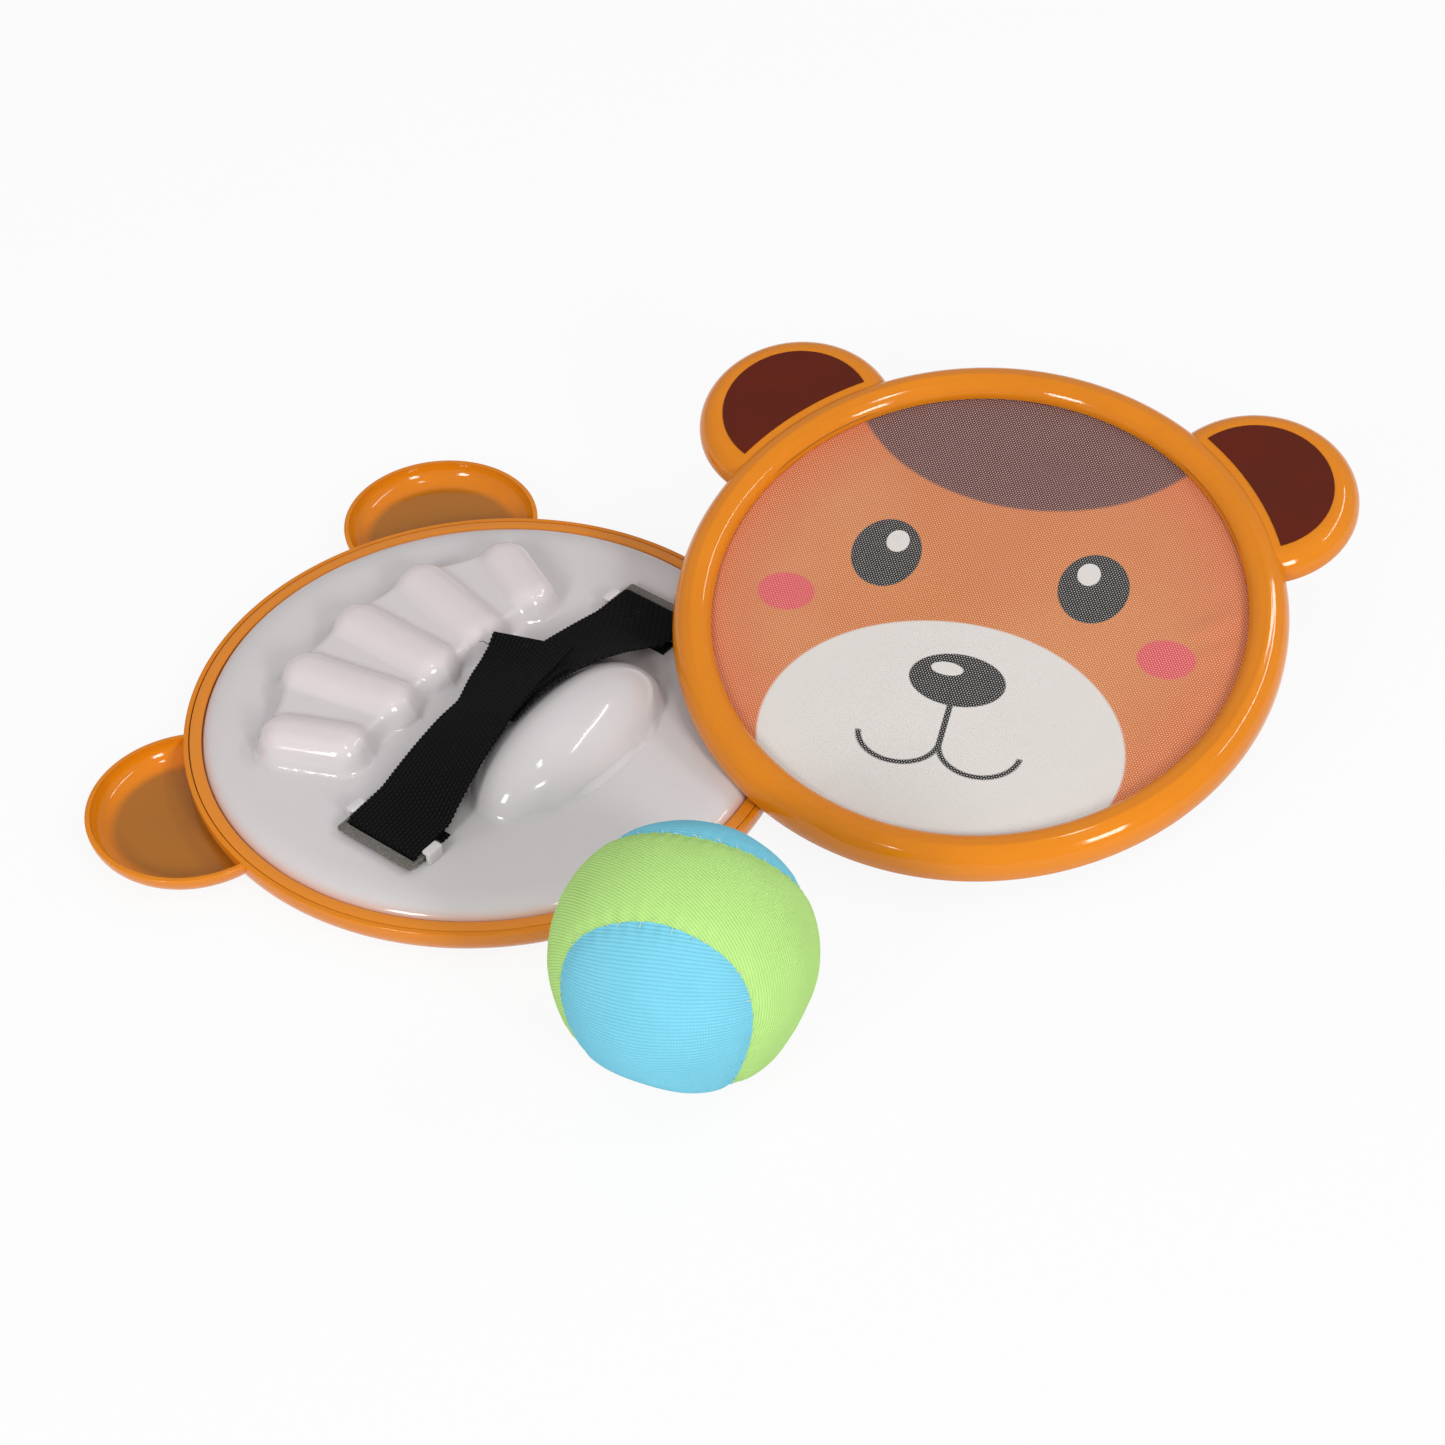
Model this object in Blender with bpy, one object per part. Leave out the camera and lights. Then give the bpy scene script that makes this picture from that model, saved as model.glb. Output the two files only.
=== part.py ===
"""Hook and loop catch set: two animal-head paddles and a soft two-colour ball.

The left paddle lies face down with its hand strap up. The right paddle lies face up and
leans on the left one. The ball stands in front of them. Sizes are in metres, +Z is up,
and the origin is on the floor under the middle of the set.

A paddle is built in its own frame: z = 0 is its back edge, +z points out of its face and
+y points between its ears. The grip on its back is built in a grip frame, whose height
runs out of the back, whose x runs along the strap and whose y points to the fingers.
"""

import math

import bmesh
import bpy
from mathutils import Matrix, Vector

# Clearance between pieces that touch, and the roundness of turned pieces
GAP = 0.0003
RING_SEGMENTS = 48
EAR_SEGMENTS = 24
ARC_STEPS = 4

# Ring of the paddle's frame
RING_RADIUS = 0.095
RING_BAND = 0.0124
RING_HEIGHT = 0.010
RING_CREST_INSET = 0.0065
RING_WALL_HEIGHT = 0.0023
SKIRT_WALL = 0.0016
SKIRT_BEVEL = 0.0008
CORE_WALL = 0.0022
LIP_HEIGHT = 0.0011

# Ears of the frame
EAR_RADIUS = 0.0322
EAR_DISTANCE = 0.0966
EAR_ANGLE = math.radians(50.5)
EAR_HEIGHT = 0.008
EAR_FLAT_RADIUS = 0.0245
EAR_WALL = 0.0015
EAR_RIM_HEIGHT = 0.0005
EAR_PATCH_RADIUS = 0.024
EAR_PATCH_THICKNESS = 0.0004
EAR_PATCH_STEPS = 18

# Layers held inside the ring, from the back to the face
CLAMP_BAND = 0.0038
CLAMP_THICKNESS = 0.0012
FLANGE_THICKNESS = 0.0012
SHEET_THICKNESS = 0.0004
MESH_THICKNESS = 0.0004

# Back tray
TRAY_WALL = 0.0015
TRAY_RISE = 0.0030
TRAY_EDGE_WIDTH = 0.0100

# Finger ridges and palm hump, in the grip frame
GRIP_TURN = math.radians(11.5)
RIDGE_COUNT = 5
RIDGE_PITCH = math.radians(12.0)
OUTER_RIDGE_PITCH = math.radians(12.8)
RIDGE_FAN_RADIUS = 0.1140
RIDGE_FAN_TOP = 0.0393
RIDGE_LENGTH = 0.0480
OUTER_RIDGE_LENGTH = 0.0370
RIDGE_HALF_WIDTH = 0.0088
RIDGE_HEIGHT = 0.0095
RIDGE_SEGMENTS = (10, 7)
HUMP_CENTRE = (-0.0015, -0.0310)
HUMP_HALF_LENGTH = 0.0395
HUMP_HALF_WIDTH = 0.0190
HUMP_HEIGHT = 0.0175
HUMP_SEGMENTS = (24, 13)

# Hand strap: two webbing parts that overlap
STRAP_WIDTH = 0.0268
STRAP_THICKNESS = 0.0009
STRAP_Y = -0.0155
STRAP_FOLD_X = 0.0656
STRAP_RISE = 0.0036
STRAP_LEAN = 0.0124
STRAP_BOW = 0.0046
STRAP_LEAN_REACH = 0.050
STRAP_RETURN_LENGTH = 0.018
STRAP_STEP = 0.0055
FOLD_SETBACK = 0.3
FOLD_DROP = 0.8
OVER_END_X = -0.017
UNDER_END_X = 0.014
FREE_END_LIFT = 0.003
FREE_END_SHIFT = 0.0085
PATCH_THICKNESS = 0.0004
PATCH_LENGTH = 0.026
PATCH_INSET = 0.002

# Flat loops that hold the strap's ends, and the tray's hooks over them
LOOP_THICKNESS = 0.0012
LOOP_STRIP = 0.0030
LOOP_SLOT = 0.0018
LOOP_INNER_BAR = 0.0091
LOOP_LEG = 0.0010
LOOP_SIDE_GAP = 0.0003
HOOK_LENGTH = 0.0060
HOOK_POST = 0.0019
HOOK_REACH = 0.0010
HOOK_ROOF = 0.0016

# Ball
BALL_RADIUS = 0.0382
BALL_COVER = 0.0015
BALL_SEAM_POLAR = 0.435
BALL_SEAM_GAP = 0.0003
BALL_TURN = math.radians(-108.1)
BALL_LEAN = (0.0702, -0.0524)
BALL_SEAM_STEPS = 12
BALL_ACROSS_STEPS = 6
BALL_FILLING_SEGMENTS = 20
BALL_FILLING_GAP = 0.0010

# Where the pieces of the set lie, seen from above, measured from the left paddle
LEFT_HEADING = math.radians(151.8)
RIGHT_HEADING = math.radians(71.9)
RIM_OVERLAP = 0.03674
RIGHT_DIRECTION = math.radians(4.9034)
RIGHT_LEAN = (-0.070, -0.234)
CONTACT_RINGS = 40
CONTACT_RING_SPACING = 0.001
CONTACT_STEPS = 180
BALL_OFFSET = (0.0595, -0.1323)

# Sizes that follow from the ones above
RIGHT_REACH = 2 * RING_RADIUS - RIM_OVERLAP
RIGHT_OFFSET = (RIGHT_REACH * math.cos(RIGHT_DIRECTION), RIGHT_REACH * math.sin(RIGHT_DIRECTION))
OPENING_RADIUS = RING_RADIUS - RING_BAND
CREST_RADIUS = RING_RADIUS - RING_CREST_INSET
SKIRT_INNER = RING_RADIUS - SKIRT_WALL
STACK_RADIUS = SKIRT_INNER - 2 * GAP
FLANGE_BOTTOM = CLAMP_THICKNESS + GAP
SHEET_BOTTOM = FLANGE_BOTTOM + FLANGE_THICKNESS + GAP
MESH_BOTTOM = SHEET_BOTTOM + SHEET_THICKNESS + GAP
LEDGE = MESH_BOTTOM + MESH_THICKNESS + GAP
CLAMP_INNER = SKIRT_INNER - GAP - CLAMP_BAND
TRAY_EDGE = CLAMP_INNER - GAP
TRAY_FLAT = TRAY_EDGE - TRAY_EDGE_WIDTH
TRAY_EDGE_DEPTH = CLAMP_THICKNESS / 2
RETURN_BOTTOM = TRAY_RISE + GAP
LOOP_BOTTOM = RETURN_BOTTOM + STRAP_THICKNESS + GAP
LOOP_TOP = LOOP_BOTTOM + LOOP_THICKNESS
STRAP_END_BOTTOM = LOOP_TOP + GAP
LOOP_BAR_OUTER = STRAP_FOLD_X - STRAP_THICKNESS - GAP
OVER_STACK = STRAP_THICKNESS + 2 * PATCH_THICKNESS + 3 * GAP

ORANGE = ("orange_plastic", (0.74, 0.235, 0.010), 0.30)
WHITE = ("white_plastic", (0.70, 0.66, 0.66), 0.18)
BROWN = ("brown_print", (0.145, 0.030, 0.018), 0.45)
PEACH = ("printed_net", (0.76, 0.30, 0.12), 0.60)
BACKING = ("white_backing", (0.72, 0.70, 0.68), 0.60)
BLACK = ("black_webbing", (0.006, 0.007, 0.007), 0.80)
GREY = ("grey_loop", (0.14, 0.13, 0.12), 0.50)
GREEN = ("green_knit", (0.42, 0.78, 0.22), 0.90)
BLUE = ("blue_knit", (0.17, 0.60, 0.82), 0.90)
FOAM = ("foam", (0.80, 0.78, 0.70), 0.90)


def clear_scene():
    for obj in list(bpy.data.objects):
        bpy.data.objects.remove(obj, do_unlink=True)


def make_material(spec):
    name, colour, roughness = spec
    found = bpy.data.materials.get(name)
    if found:
        return found
    material = bpy.data.materials.new(name)
    material.use_nodes = True
    shader = material.node_tree.nodes["Principled BSDF"]
    shader.inputs["Base Color"].default_value = (*colour, 1.0)
    shader.inputs["Roughness"].default_value = roughness
    shader.inputs["Metallic"].default_value = 0.0
    return material


def finish(bm, name):
    """Turns a bmesh into a mesh whose faces point outwards and whose round sides are smooth."""
    bmesh.ops.recalc_face_normals(bm, faces=bm.faces[:])
    mesh = bpy.data.meshes.new(name)
    bm.to_mesh(mesh)
    bm.free()
    mesh.shade_smooth()
    mesh.set_sharp_from_angle(angle=math.radians(35))
    return mesh


def lathe(profile, segments, closed):
    """Turns a profile of (radius, z) points about the z axis."""
    bm = bmesh.new()
    verts = [bm.verts.new((radius, 0.0, z)) for radius, z in profile]
    edges = [bm.edges.new(pair) for pair in zip(verts, verts[1:])]
    if closed:
        edges.append(bm.edges.new((verts[-1], verts[0])))
    bmesh.ops.spin(
        bm,
        geom=verts + edges,
        cent=(0, 0, 0),
        axis=(0, 0, 1),
        angle=2 * math.pi,
        steps=segments,
        use_merge=True,
    )
    bmesh.ops.remove_doubles(bm, verts=bm.verts[:], dist=1e-6)
    return bm


def prism(outline, bottom, top):
    """Extrudes a closed outline of (x, y) points between two heights."""
    bm = bmesh.new()
    face = bm.faces.new([bm.verts.new((x, y, bottom)) for x, y in outline])
    raised = bmesh.ops.extrude_face_region(bm, geom=[face])["geom"]
    moved = [item for item in raised if isinstance(item, bmesh.types.BMVert)]
    bmesh.ops.translate(bm, verts=moved, vec=(0, 0, top - bottom))
    return bm


def arc(centre, half_width, half_height, start, end):
    """Points of an ellipse about a centre, from one angle to another in degrees."""
    points = []
    for index in range(ARC_STEPS + 1):
        angle = math.radians(start + (end - start) * index / ARC_STEPS)
        x = centre[0] + half_width * math.cos(angle)
        z = centre[1] + half_height * math.sin(angle)
        points.append((x, z))
    return points


def merged(name, meshes):
    """Several separate bodies as one mesh."""
    bm = bmesh.new()
    for mesh in meshes:
        bm.from_mesh(mesh)
    return finish(bm, name)


def combined(name, base, joins=(), cuts=()):
    """Joins meshes to a base and cuts others out of it, and returns the finished mesh."""
    scene = bpy.context.scene.collection
    target = bpy.data.objects.new(name, base)
    scene.objects.link(target)
    helpers = []
    for operation, meshes in (("UNION", joins), ("DIFFERENCE", cuts)):
        if not meshes:
            continue
        helper = bpy.data.objects.new(operation.lower(), merged(name + "_helper", meshes))
        helper.hide_render = True
        helper.display_type = "WIRE"
        scene.objects.link(helper)
        helpers.append(helper)
        modifier = target.modifiers.new(operation.lower(), "BOOLEAN")
        modifier.operation = operation
        modifier.solver = "EXACT"
        modifier.object = helper
    graph = bpy.context.evaluated_depsgraph_get()
    mesh = bpy.data.meshes.new_from_object(target.evaluated_get(graph))
    for obj in [target, *helpers]:
        bpy.data.objects.remove(obj, do_unlink=True)
    bm = bmesh.new()
    bm.from_mesh(mesh)
    bmesh.ops.remove_doubles(bm, verts=bm.verts[:], dist=2e-6)
    bmesh.ops.dissolve_degenerate(bm, dist=2e-6, edges=bm.edges[:])
    return finish(bm, name)


def ring_profile():
    """Section of the ring: skirt, rounded face, lip, and the cored space behind the face."""
    shoulder = RING_HEIGHT - RING_WALL_HEIGHT
    lip_top = LEDGE + LIP_HEIGHT
    outer = arc((CREST_RADIUS, RING_WALL_HEIGHT), RING_CREST_INSET, shoulder, 0, 90)
    inner_width = CREST_RADIUS - OPENING_RADIUS
    inner = arc((CREST_RADIUS, lip_top), inner_width, RING_HEIGHT - lip_top, 90, 180)
    core_in = OPENING_RADIUS + CORE_WALL
    core_out = SKIRT_INNER - CORE_WALL + SKIRT_WALL / 2
    core_top = RING_HEIGHT - CORE_WALL
    return [
        (SKIRT_INNER, 0.0),
        (RING_RADIUS - SKIRT_BEVEL, 0.0),
        (RING_RADIUS, SKIRT_BEVEL),
        *outer,
        *inner[1:],
        (OPENING_RADIUS, LEDGE),
        (core_in, LEDGE),
        (core_in + CORE_WALL / 2, core_top - CORE_WALL / 2),
        (CREST_RADIUS, core_top),
        (core_out, LEDGE),
        (SKIRT_INNER, LEDGE),
    ]


def ear_profile():
    """Section of an ear cup: flat top, rounded wall, open at the back."""
    reach = EAR_RADIUS - EAR_FLAT_RADIUS
    drop = EAR_HEIGHT - EAR_RIM_HEIGHT
    centre = (EAR_FLAT_RADIUS, EAR_RIM_HEIGHT)
    outer = arc(centre, reach, drop, 90, 0)
    inner = arc(centre, reach - EAR_WALL, drop - EAR_WALL, 0, 90)
    return [
        (0.0, EAR_HEIGHT),
        *outer,
        (EAR_RADIUS, 0.0),
        (EAR_RADIUS - EAR_WALL, 0.0),
        *inner,
        (0.0, EAR_HEIGHT - EAR_WALL),
    ]


def ear_centre(side):
    return Vector((side * math.sin(EAR_ANGLE), math.cos(EAR_ANGLE), 0.0)) * EAR_DISTANCE


def ring_room():
    """What lies inside the ring and is cut off the ears, so that they end in its walls."""
    wall_middle = RING_RADIUS - SKIRT_WALL / 2
    shell_middle = SKIRT_INNER - CORE_WALL / 2
    step = LEDGE + GAP
    profile = [
        (0.0, -RING_HEIGHT),
        (wall_middle, -RING_HEIGHT),
        (wall_middle, step),
        (shell_middle, step),
        (shell_middle, 2 * RING_HEIGHT),
        (0.0, 2 * RING_HEIGHT),
    ]
    return finish(lathe(profile, RING_SEGMENTS, False), "ring_room")


def frame_mesh():
    """Ring and ear cups, moulded in one piece."""
    ring = finish(lathe(ring_profile(), RING_SEGMENTS, True), "ring")
    room = ring_room()
    ears = []
    for side in (-1, 1):
        bm = lathe(ear_profile(), EAR_SEGMENTS, False)
        bmesh.ops.translate(bm, verts=bm.verts[:], vec=ear_centre(side))
        cup = finish(bm, "ear_cup")
        ears.append(combined("ear", cup, cuts=[room]))
    return combined("frame", ring, joins=ears)


def patch_mesh(side):
    """Flat plate on an ear's top: the ear's circle less the ring's."""
    top = EAR_HEIGHT + GAP
    centre = ear_centre(side)
    distance = centre.length
    edge = RING_RADIUS - GAP
    along = (distance**2 + edge**2 - EAR_PATCH_RADIUS**2) / (2 * distance)
    half_ring = math.acos(along / edge)
    half_ear = math.pi - math.acos((distance - along) / EAR_PATCH_RADIUS)
    heading = math.atan2(centre.y, centre.x)
    outline = []
    for index in range(EAR_PATCH_STEPS + 1):
        angle = heading - half_ear + 2 * half_ear * index / EAR_PATCH_STEPS
        x = centre.x + EAR_PATCH_RADIUS * math.cos(angle)
        y = centre.y + EAR_PATCH_RADIUS * math.sin(angle)
        outline.append((x, y))
    for index in range(1, ARC_STEPS):
        angle = heading + half_ring - 2 * half_ring * index / ARC_STEPS
        outline.append((edge * math.cos(angle), edge * math.sin(angle)))
    return finish(prism(outline, top, top + EAR_PATCH_THICKNESS), "ear_patch")


def disc_mesh(name, bottom, thickness):
    profile = [
        (0.0, bottom),
        (STACK_RADIUS, bottom),
        (STACK_RADIUS, bottom + thickness),
        (0.0, bottom + thickness),
    ]
    return finish(lathe(profile, RING_SEGMENTS, False), name)


def clamp_mesh():
    outer = SKIRT_INNER - GAP
    profile = [
        (CLAMP_INNER, 0.0),
        (outer, 0.0),
        (outer, CLAMP_THICKNESS),
        (CLAMP_INNER, CLAMP_THICKNESS),
    ]
    return finish(lathe(profile, RING_SEGMENTS, True), "clamp_ring")


def back_rise(radius):
    """Height of a paddle's back over its back edge, at a distance from its axis."""
    if radius >= TRAY_EDGE:
        return 0.0
    share = min(1.0, (TRAY_EDGE - radius) / TRAY_EDGE_WIDTH)
    round_share = math.sqrt(1.0 - (1.0 - share) ** 2)
    return (TRAY_RISE + TRAY_EDGE_DEPTH) * round_share - TRAY_EDGE_DEPTH


def tray_profile():
    """Section of the tray in the grip frame: flange, rounded edge and flat middle."""
    flange_top = -FLANGE_BOTTOM
    flange_under = flange_top - FLANGE_THICKNESS
    centre = (TRAY_FLAT, -TRAY_EDGE_DEPTH)
    full = TRAY_RISE + TRAY_EDGE_DEPTH
    outer = arc(centre, TRAY_EDGE_WIDTH, full, 0, 90)
    inner = arc(centre, TRAY_EDGE_WIDTH - TRAY_WALL, full - TRAY_WALL, 90, 0)
    return [
        (0.0, TRAY_RISE - TRAY_WALL),
        *inner,
        (TRAY_EDGE - TRAY_WALL, flange_under),
        (STACK_RADIUS, flange_under),
        (STACK_RADIUS, flange_top),
        (TRAY_EDGE, flange_top),
        *outer,
        (0.0, TRAY_RISE),
    ]


def blob(half_size, stretch, segments, wall):
    """Ellipsoid, drawn out along y by a stretch and shrunk on every side by a wall."""
    bm = bmesh.new()
    around, rings = segments
    bmesh.ops.create_uvsphere(bm, u_segments=around, v_segments=rings, radius=1.0)
    upright = Matrix.Rotation(math.pi / 2, 3, "X")
    bmesh.ops.rotate(bm, verts=bm.verts[:], cent=(0, 0, 0), matrix=upright)
    bmesh.ops.scale(bm, verts=bm.verts[:], vec=[size - wall for size in half_size])
    for vert in bm.verts:
        if abs(vert.co.y) > GAP:
            vert.co.y += math.copysign(stretch, vert.co.y)
    return bm


def ridge_places():
    """Centre, turn and length of each finger ridge, on an arc about the fan's centre."""
    places = []
    fan_centre = RIDGE_FAN_TOP - RIDGE_FAN_RADIUS
    for index in range(RIDGE_COUNT):
        step = index - (RIDGE_COUNT - 1) / 2
        outer_steps = max(abs(step) - 1, 0)
        from_middle = (abs(step) - outer_steps) * RIDGE_PITCH + outer_steps * OUTER_RIDGE_PITCH
        angle = math.copysign(from_middle, step)
        x = RIDGE_FAN_RADIUS * math.sin(angle)
        y = fan_centre + RIDGE_FAN_RADIUS * math.cos(angle)
        is_outer = index in (0, RIDGE_COUNT - 1)
        length = OUTER_RIDGE_LENGTH if is_outer else RIDGE_LENGTH
        places.append(((x, y), -angle, length))
    return places


def flattened(bm, name):
    """Cuts a blob off flat in the middle of the tray's wall."""
    cut = bmesh.ops.bisect_plane(
        bm,
        geom=bm.verts[:] + bm.edges[:] + bm.faces[:],
        plane_co=(0, 0, TRAY_RISE - TRAY_WALL / 2),
        plane_no=(0, 0, -1),
        clear_outer=True,
    )
    rim = [item for item in cut["geom_cut"] if isinstance(item, bmesh.types.BMEdge)]
    bmesh.ops.holes_fill(bm, edges=rim)
    return finish(bm, name)


def ridge_blob(place, wall):
    (x, y), turn, length = place
    half_size = (RIDGE_HALF_WIDTH, RIDGE_HALF_WIDTH, RIDGE_HEIGHT)
    bm = blob(half_size, length / 2 - RIDGE_HALF_WIDTH, RIDGE_SEGMENTS, wall)
    matrix = Matrix.Translation((x, y, TRAY_RISE)) @ Matrix.Rotation(turn, 4, "Z")
    bmesh.ops.transform(bm, matrix=matrix, verts=bm.verts[:])
    return bm


def hump_blob(wall):
    half_size = (HUMP_HALF_LENGTH, HUMP_HALF_WIDTH, HUMP_HEIGHT)
    bm = blob(half_size, 0.0, HUMP_SEGMENTS, wall)
    bmesh.ops.translate(bm, verts=bm.verts[:], vec=(*HUMP_CENTRE, TRAY_RISE))
    return bm


def loop_half_width():
    """Half of a flat loop's length across the strap."""
    return STRAP_WIDTH / 2 + LOOP_SIDE_GAP + LOOP_LEG


def hook_mesh(end, side):
    """Moulded hook that reaches over one leg of a flat loop."""
    leg_outer = loop_half_width()
    post_inner = leg_outer + GAP
    post_outer = post_inner + HOOK_POST
    roof = LOOP_TOP + GAP
    section = [
        (post_inner, TRAY_RISE - TRAY_WALL / 2),
        (post_outer, TRAY_RISE - TRAY_WALL / 2),
        (post_outer, roof + HOOK_ROOF),
        (leg_outer - HOOK_REACH, roof + HOOK_ROOF),
        (leg_outer - HOOK_REACH, roof),
        (post_inner, roof),
    ]
    middle = LOOP_BAR_OUTER - LOOP_INNER_BAR / 2
    bm = prism(section, middle - HOOK_LENGTH / 2, middle + HOOK_LENGTH / 2)
    for vert in bm.verts:
        across, height, along = vert.co
        vert.co = Vector((end * along, STRAP_Y + side * across, height))
    return finish(bm, "hook")


def tray_mesh():
    """Back tray: a dished shell with finger ridges, palm hump and loop hooks."""
    shell = finish(lathe(tray_profile(), RING_SEGMENTS, False), "tray_shell")
    places = ridge_places()
    joins = [flattened(ridge_blob(place, 0.0), "ridge") for place in places]
    joins.append(flattened(hump_blob(0.0), "hump"))
    joins.extend(hook_mesh(end, side) for end in (-1, 1) for side in (-1, 1))
    hollows = [finish(ridge_blob(place, TRAY_WALL), "ridge_hollow") for place in places]
    hollows.append(finish(hump_blob(TRAY_WALL), "hump_hollow"))
    return combined("tray", shell, joins=joins, cuts=hollows)


def strap_share(x):
    return max(0.0, 1.0 - (x / STRAP_LEAN_REACH) ** 2)


def strap_base(x):
    """Height of the under strap's lower side at its finger edge."""
    return STRAP_END_BOTTOM + STRAP_RISE * max(0.0, 1.0 - abs(x) / STRAP_FOLD_X)


def over_extra(x):
    """How far the upper strap lies above the under strap's place."""
    if x > UNDER_END_X:
        reach = STRAP_FOLD_X - 2 * STRAP_THICKNESS - UNDER_END_X
        share = max(0.0, 1.0 - (x - UNDER_END_X) / reach)
        return OVER_STACK * share
    free = max(0.0, (UNDER_END_X - PATCH_LENGTH - x) / (UNDER_END_X - PATCH_LENGTH - OVER_END_X))
    return OVER_STACK + FREE_END_LIFT * free


def over_shift(x):
    share = max(0.0, (UNDER_END_X - x) / (UNDER_END_X - OVER_END_X))
    return FREE_END_SHIFT * share**2


def band_mesh(name, path, width, thickness, shift=None):
    """Webbing along a path of (x, height, share of the lean over the palm hump)."""
    bm = bmesh.new()
    rings = []
    for index, (x, height, share) in enumerate(path):
        before = Vector(path[max(index - 1, 0)])
        after = Vector(path[min(index + 1, len(path) - 1)])
        along = (after - before).xy.normalized()
        normal = Vector((-along.y, along.x)) * (thickness / 2)
        finger_edge = STRAP_Y + width / 2 + STRAP_BOW * share + (shift(x) if shift else 0.0)
        inset = (STRAP_WIDTH - width) / 2 / STRAP_WIDTH
        near_lift = STRAP_LEAN * share * (1.0 - inset)
        far_lift = STRAP_LEAN * share * inset
        ring = []
        for sign, y, lift in (
            (1, finger_edge, far_lift),
            (1, finger_edge - width, near_lift),
            (-1, finger_edge - width, near_lift),
            (-1, finger_edge, far_lift),
        ):
            point = (x + sign * normal.x, y, height + lift + sign * normal.y)
            ring.append(bm.verts.new(point))
        rings.append(ring)
    for first, second in zip(rings, rings[1:]):
        for index in range(4):
            following = (index + 1) % 4
            bm.faces.new((first[index], first[following], second[following], second[index]))
    bm.faces.new(rings[0])
    bm.faces.new(rings[-1][::-1])
    return finish(bm, name)


def strap_path(inner_x, extra):
    """Centre line of a strap part: over the tray, round the loop's bar and back under it."""
    half = STRAP_THICKNESS / 2
    fold = STRAP_FOLD_X - half
    corner = fold - STRAP_THICKNESS
    count = round((corner - inner_x) / STRAP_STEP)
    path = []
    for index in range(count + 1):
        x = inner_x + (corner - inner_x) * index / count
        path.append((x, strap_base(x) + extra(x) + half, strap_share(x)))
    top = path[-1][1]
    bottom = RETURN_BOTTOM + half
    path.append((fold - half * FOLD_SETBACK, top - half * FOLD_DROP, 0.0))
    path.append((fold, (top + bottom) / 2, 0.0))
    path.append((fold - half * FOLD_SETBACK, bottom + half * FOLD_DROP, 0.0))
    path.append((corner, bottom, 0.0))
    path.append((corner - STRAP_RETURN_LENGTH, bottom, 0.0))
    return path


def strap_meshes():
    """The upper and under strap parts, and the hook and loop patches between them."""
    over_path = strap_path(OVER_END_X, over_extra)
    over = band_mesh("strap_over", over_path, STRAP_WIDTH, STRAP_THICKNESS, over_shift)
    under_path = [(-x, *rest) for x, *rest in strap_path(-UNDER_END_X, lambda x: 0.0)]
    under = band_mesh("strap_under", under_path, STRAP_WIDTH, STRAP_THICKNESS)
    patches = []
    steps = round(PATCH_LENGTH / STRAP_STEP)
    for name, layer in (("loop_patch", 0), ("hook_patch", 1)):
        lift = STRAP_THICKNESS + GAP + layer * (PATCH_THICKNESS + GAP) + PATCH_THICKNESS / 2
        path = []
        for index in range(steps + 1):
            x = UNDER_END_X - PATCH_INSET - PATCH_LENGTH * index / steps
            path.append((x, strap_base(x) + lift, strap_share(x)))
        patches.append(band_mesh(name, path, STRAP_WIDTH - 2 * PATCH_INSET, PATCH_THICKNESS))
    return over, under, *patches


def loop_mesh(end):
    """Flat loop: a wide bar under the strap, a slot and an outer strip."""
    half = loop_half_width()
    slot_half = half - LOOP_LEG
    slot_in = LOOP_BAR_OUTER
    slot_out = slot_in + LOOP_SLOT
    inner_x = slot_in - LOOP_INNER_BAR
    outer_x = slot_out + LOOP_STRIP
    bm = bmesh.new()
    loops = []
    for height in (LOOP_BOTTOM, LOOP_TOP):
        for low, high, reach in ((inner_x, outer_x, half), (slot_in, slot_out, slot_half)):
            corners = [(low, -reach), (high, -reach), (high, reach), (low, reach)]
            ring = [bm.verts.new((end * x, STRAP_Y + y, height)) for x, y in corners]
            loops.append(ring)
    low_out, low_in, high_out, high_in = loops
    pairs = ((low_out, low_in), (high_in, high_out), (high_out, low_out), (low_in, high_in))
    for first, second in pairs:
        for index in range(4):
            following = (index + 1) % 4
            bm.faces.new((first[index], first[following], second[following], second[index]))
    return finish(bm, "strap_loop")


def grip_matrix():
    """From the grip frame to the paddle's own frame."""
    turn = Matrix.Rotation(GRIP_TURN, 4, "Z")
    return turn @ Matrix.Diagonal((1, 1, -1, 1))


def turned_to_paddle(mesh):
    """A grip mesh in the paddle's frame, its faces still pointing outwards."""
    bm = bmesh.new()
    bm.from_mesh(mesh)
    bmesh.ops.transform(bm, matrix=grip_matrix(), verts=bm.verts[:])
    return finish(bm, mesh.name)


def paddle_pieces():
    """Every piece of a paddle as (name, mesh, material), shared by both paddles."""
    over, under, loop_patch, hook_patch = strap_meshes()
    grip = [
        ("back_tray", tray_mesh(), WHITE),
        ("strap_over", over, BLACK),
        ("strap_under", under, BLACK),
        ("loop_patch", loop_patch, BLACK),
        ("hook_patch", hook_patch, BLACK),
        ("strap_loop_1", loop_mesh(1), GREY),
        ("strap_loop_2", loop_mesh(-1), GREY),
    ]
    pieces = [
        ("frame", frame_mesh(), ORANGE),
        ("clamp_ring", clamp_mesh(), ORANGE),
        ("face_sheet", disc_mesh("face_sheet", SHEET_BOTTOM, SHEET_THICKNESS), BACKING),
        ("catch_mesh", disc_mesh("catch_mesh", MESH_BOTTOM, MESH_THICKNESS), PEACH),
        ("ear_patch_1", patch_mesh(-1), BROWN),
        ("ear_patch_2", patch_mesh(1), BROWN),
    ]
    pieces.extend((name, turned_to_paddle(mesh), spec) for name, mesh, spec in grip)
    return pieces


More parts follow.
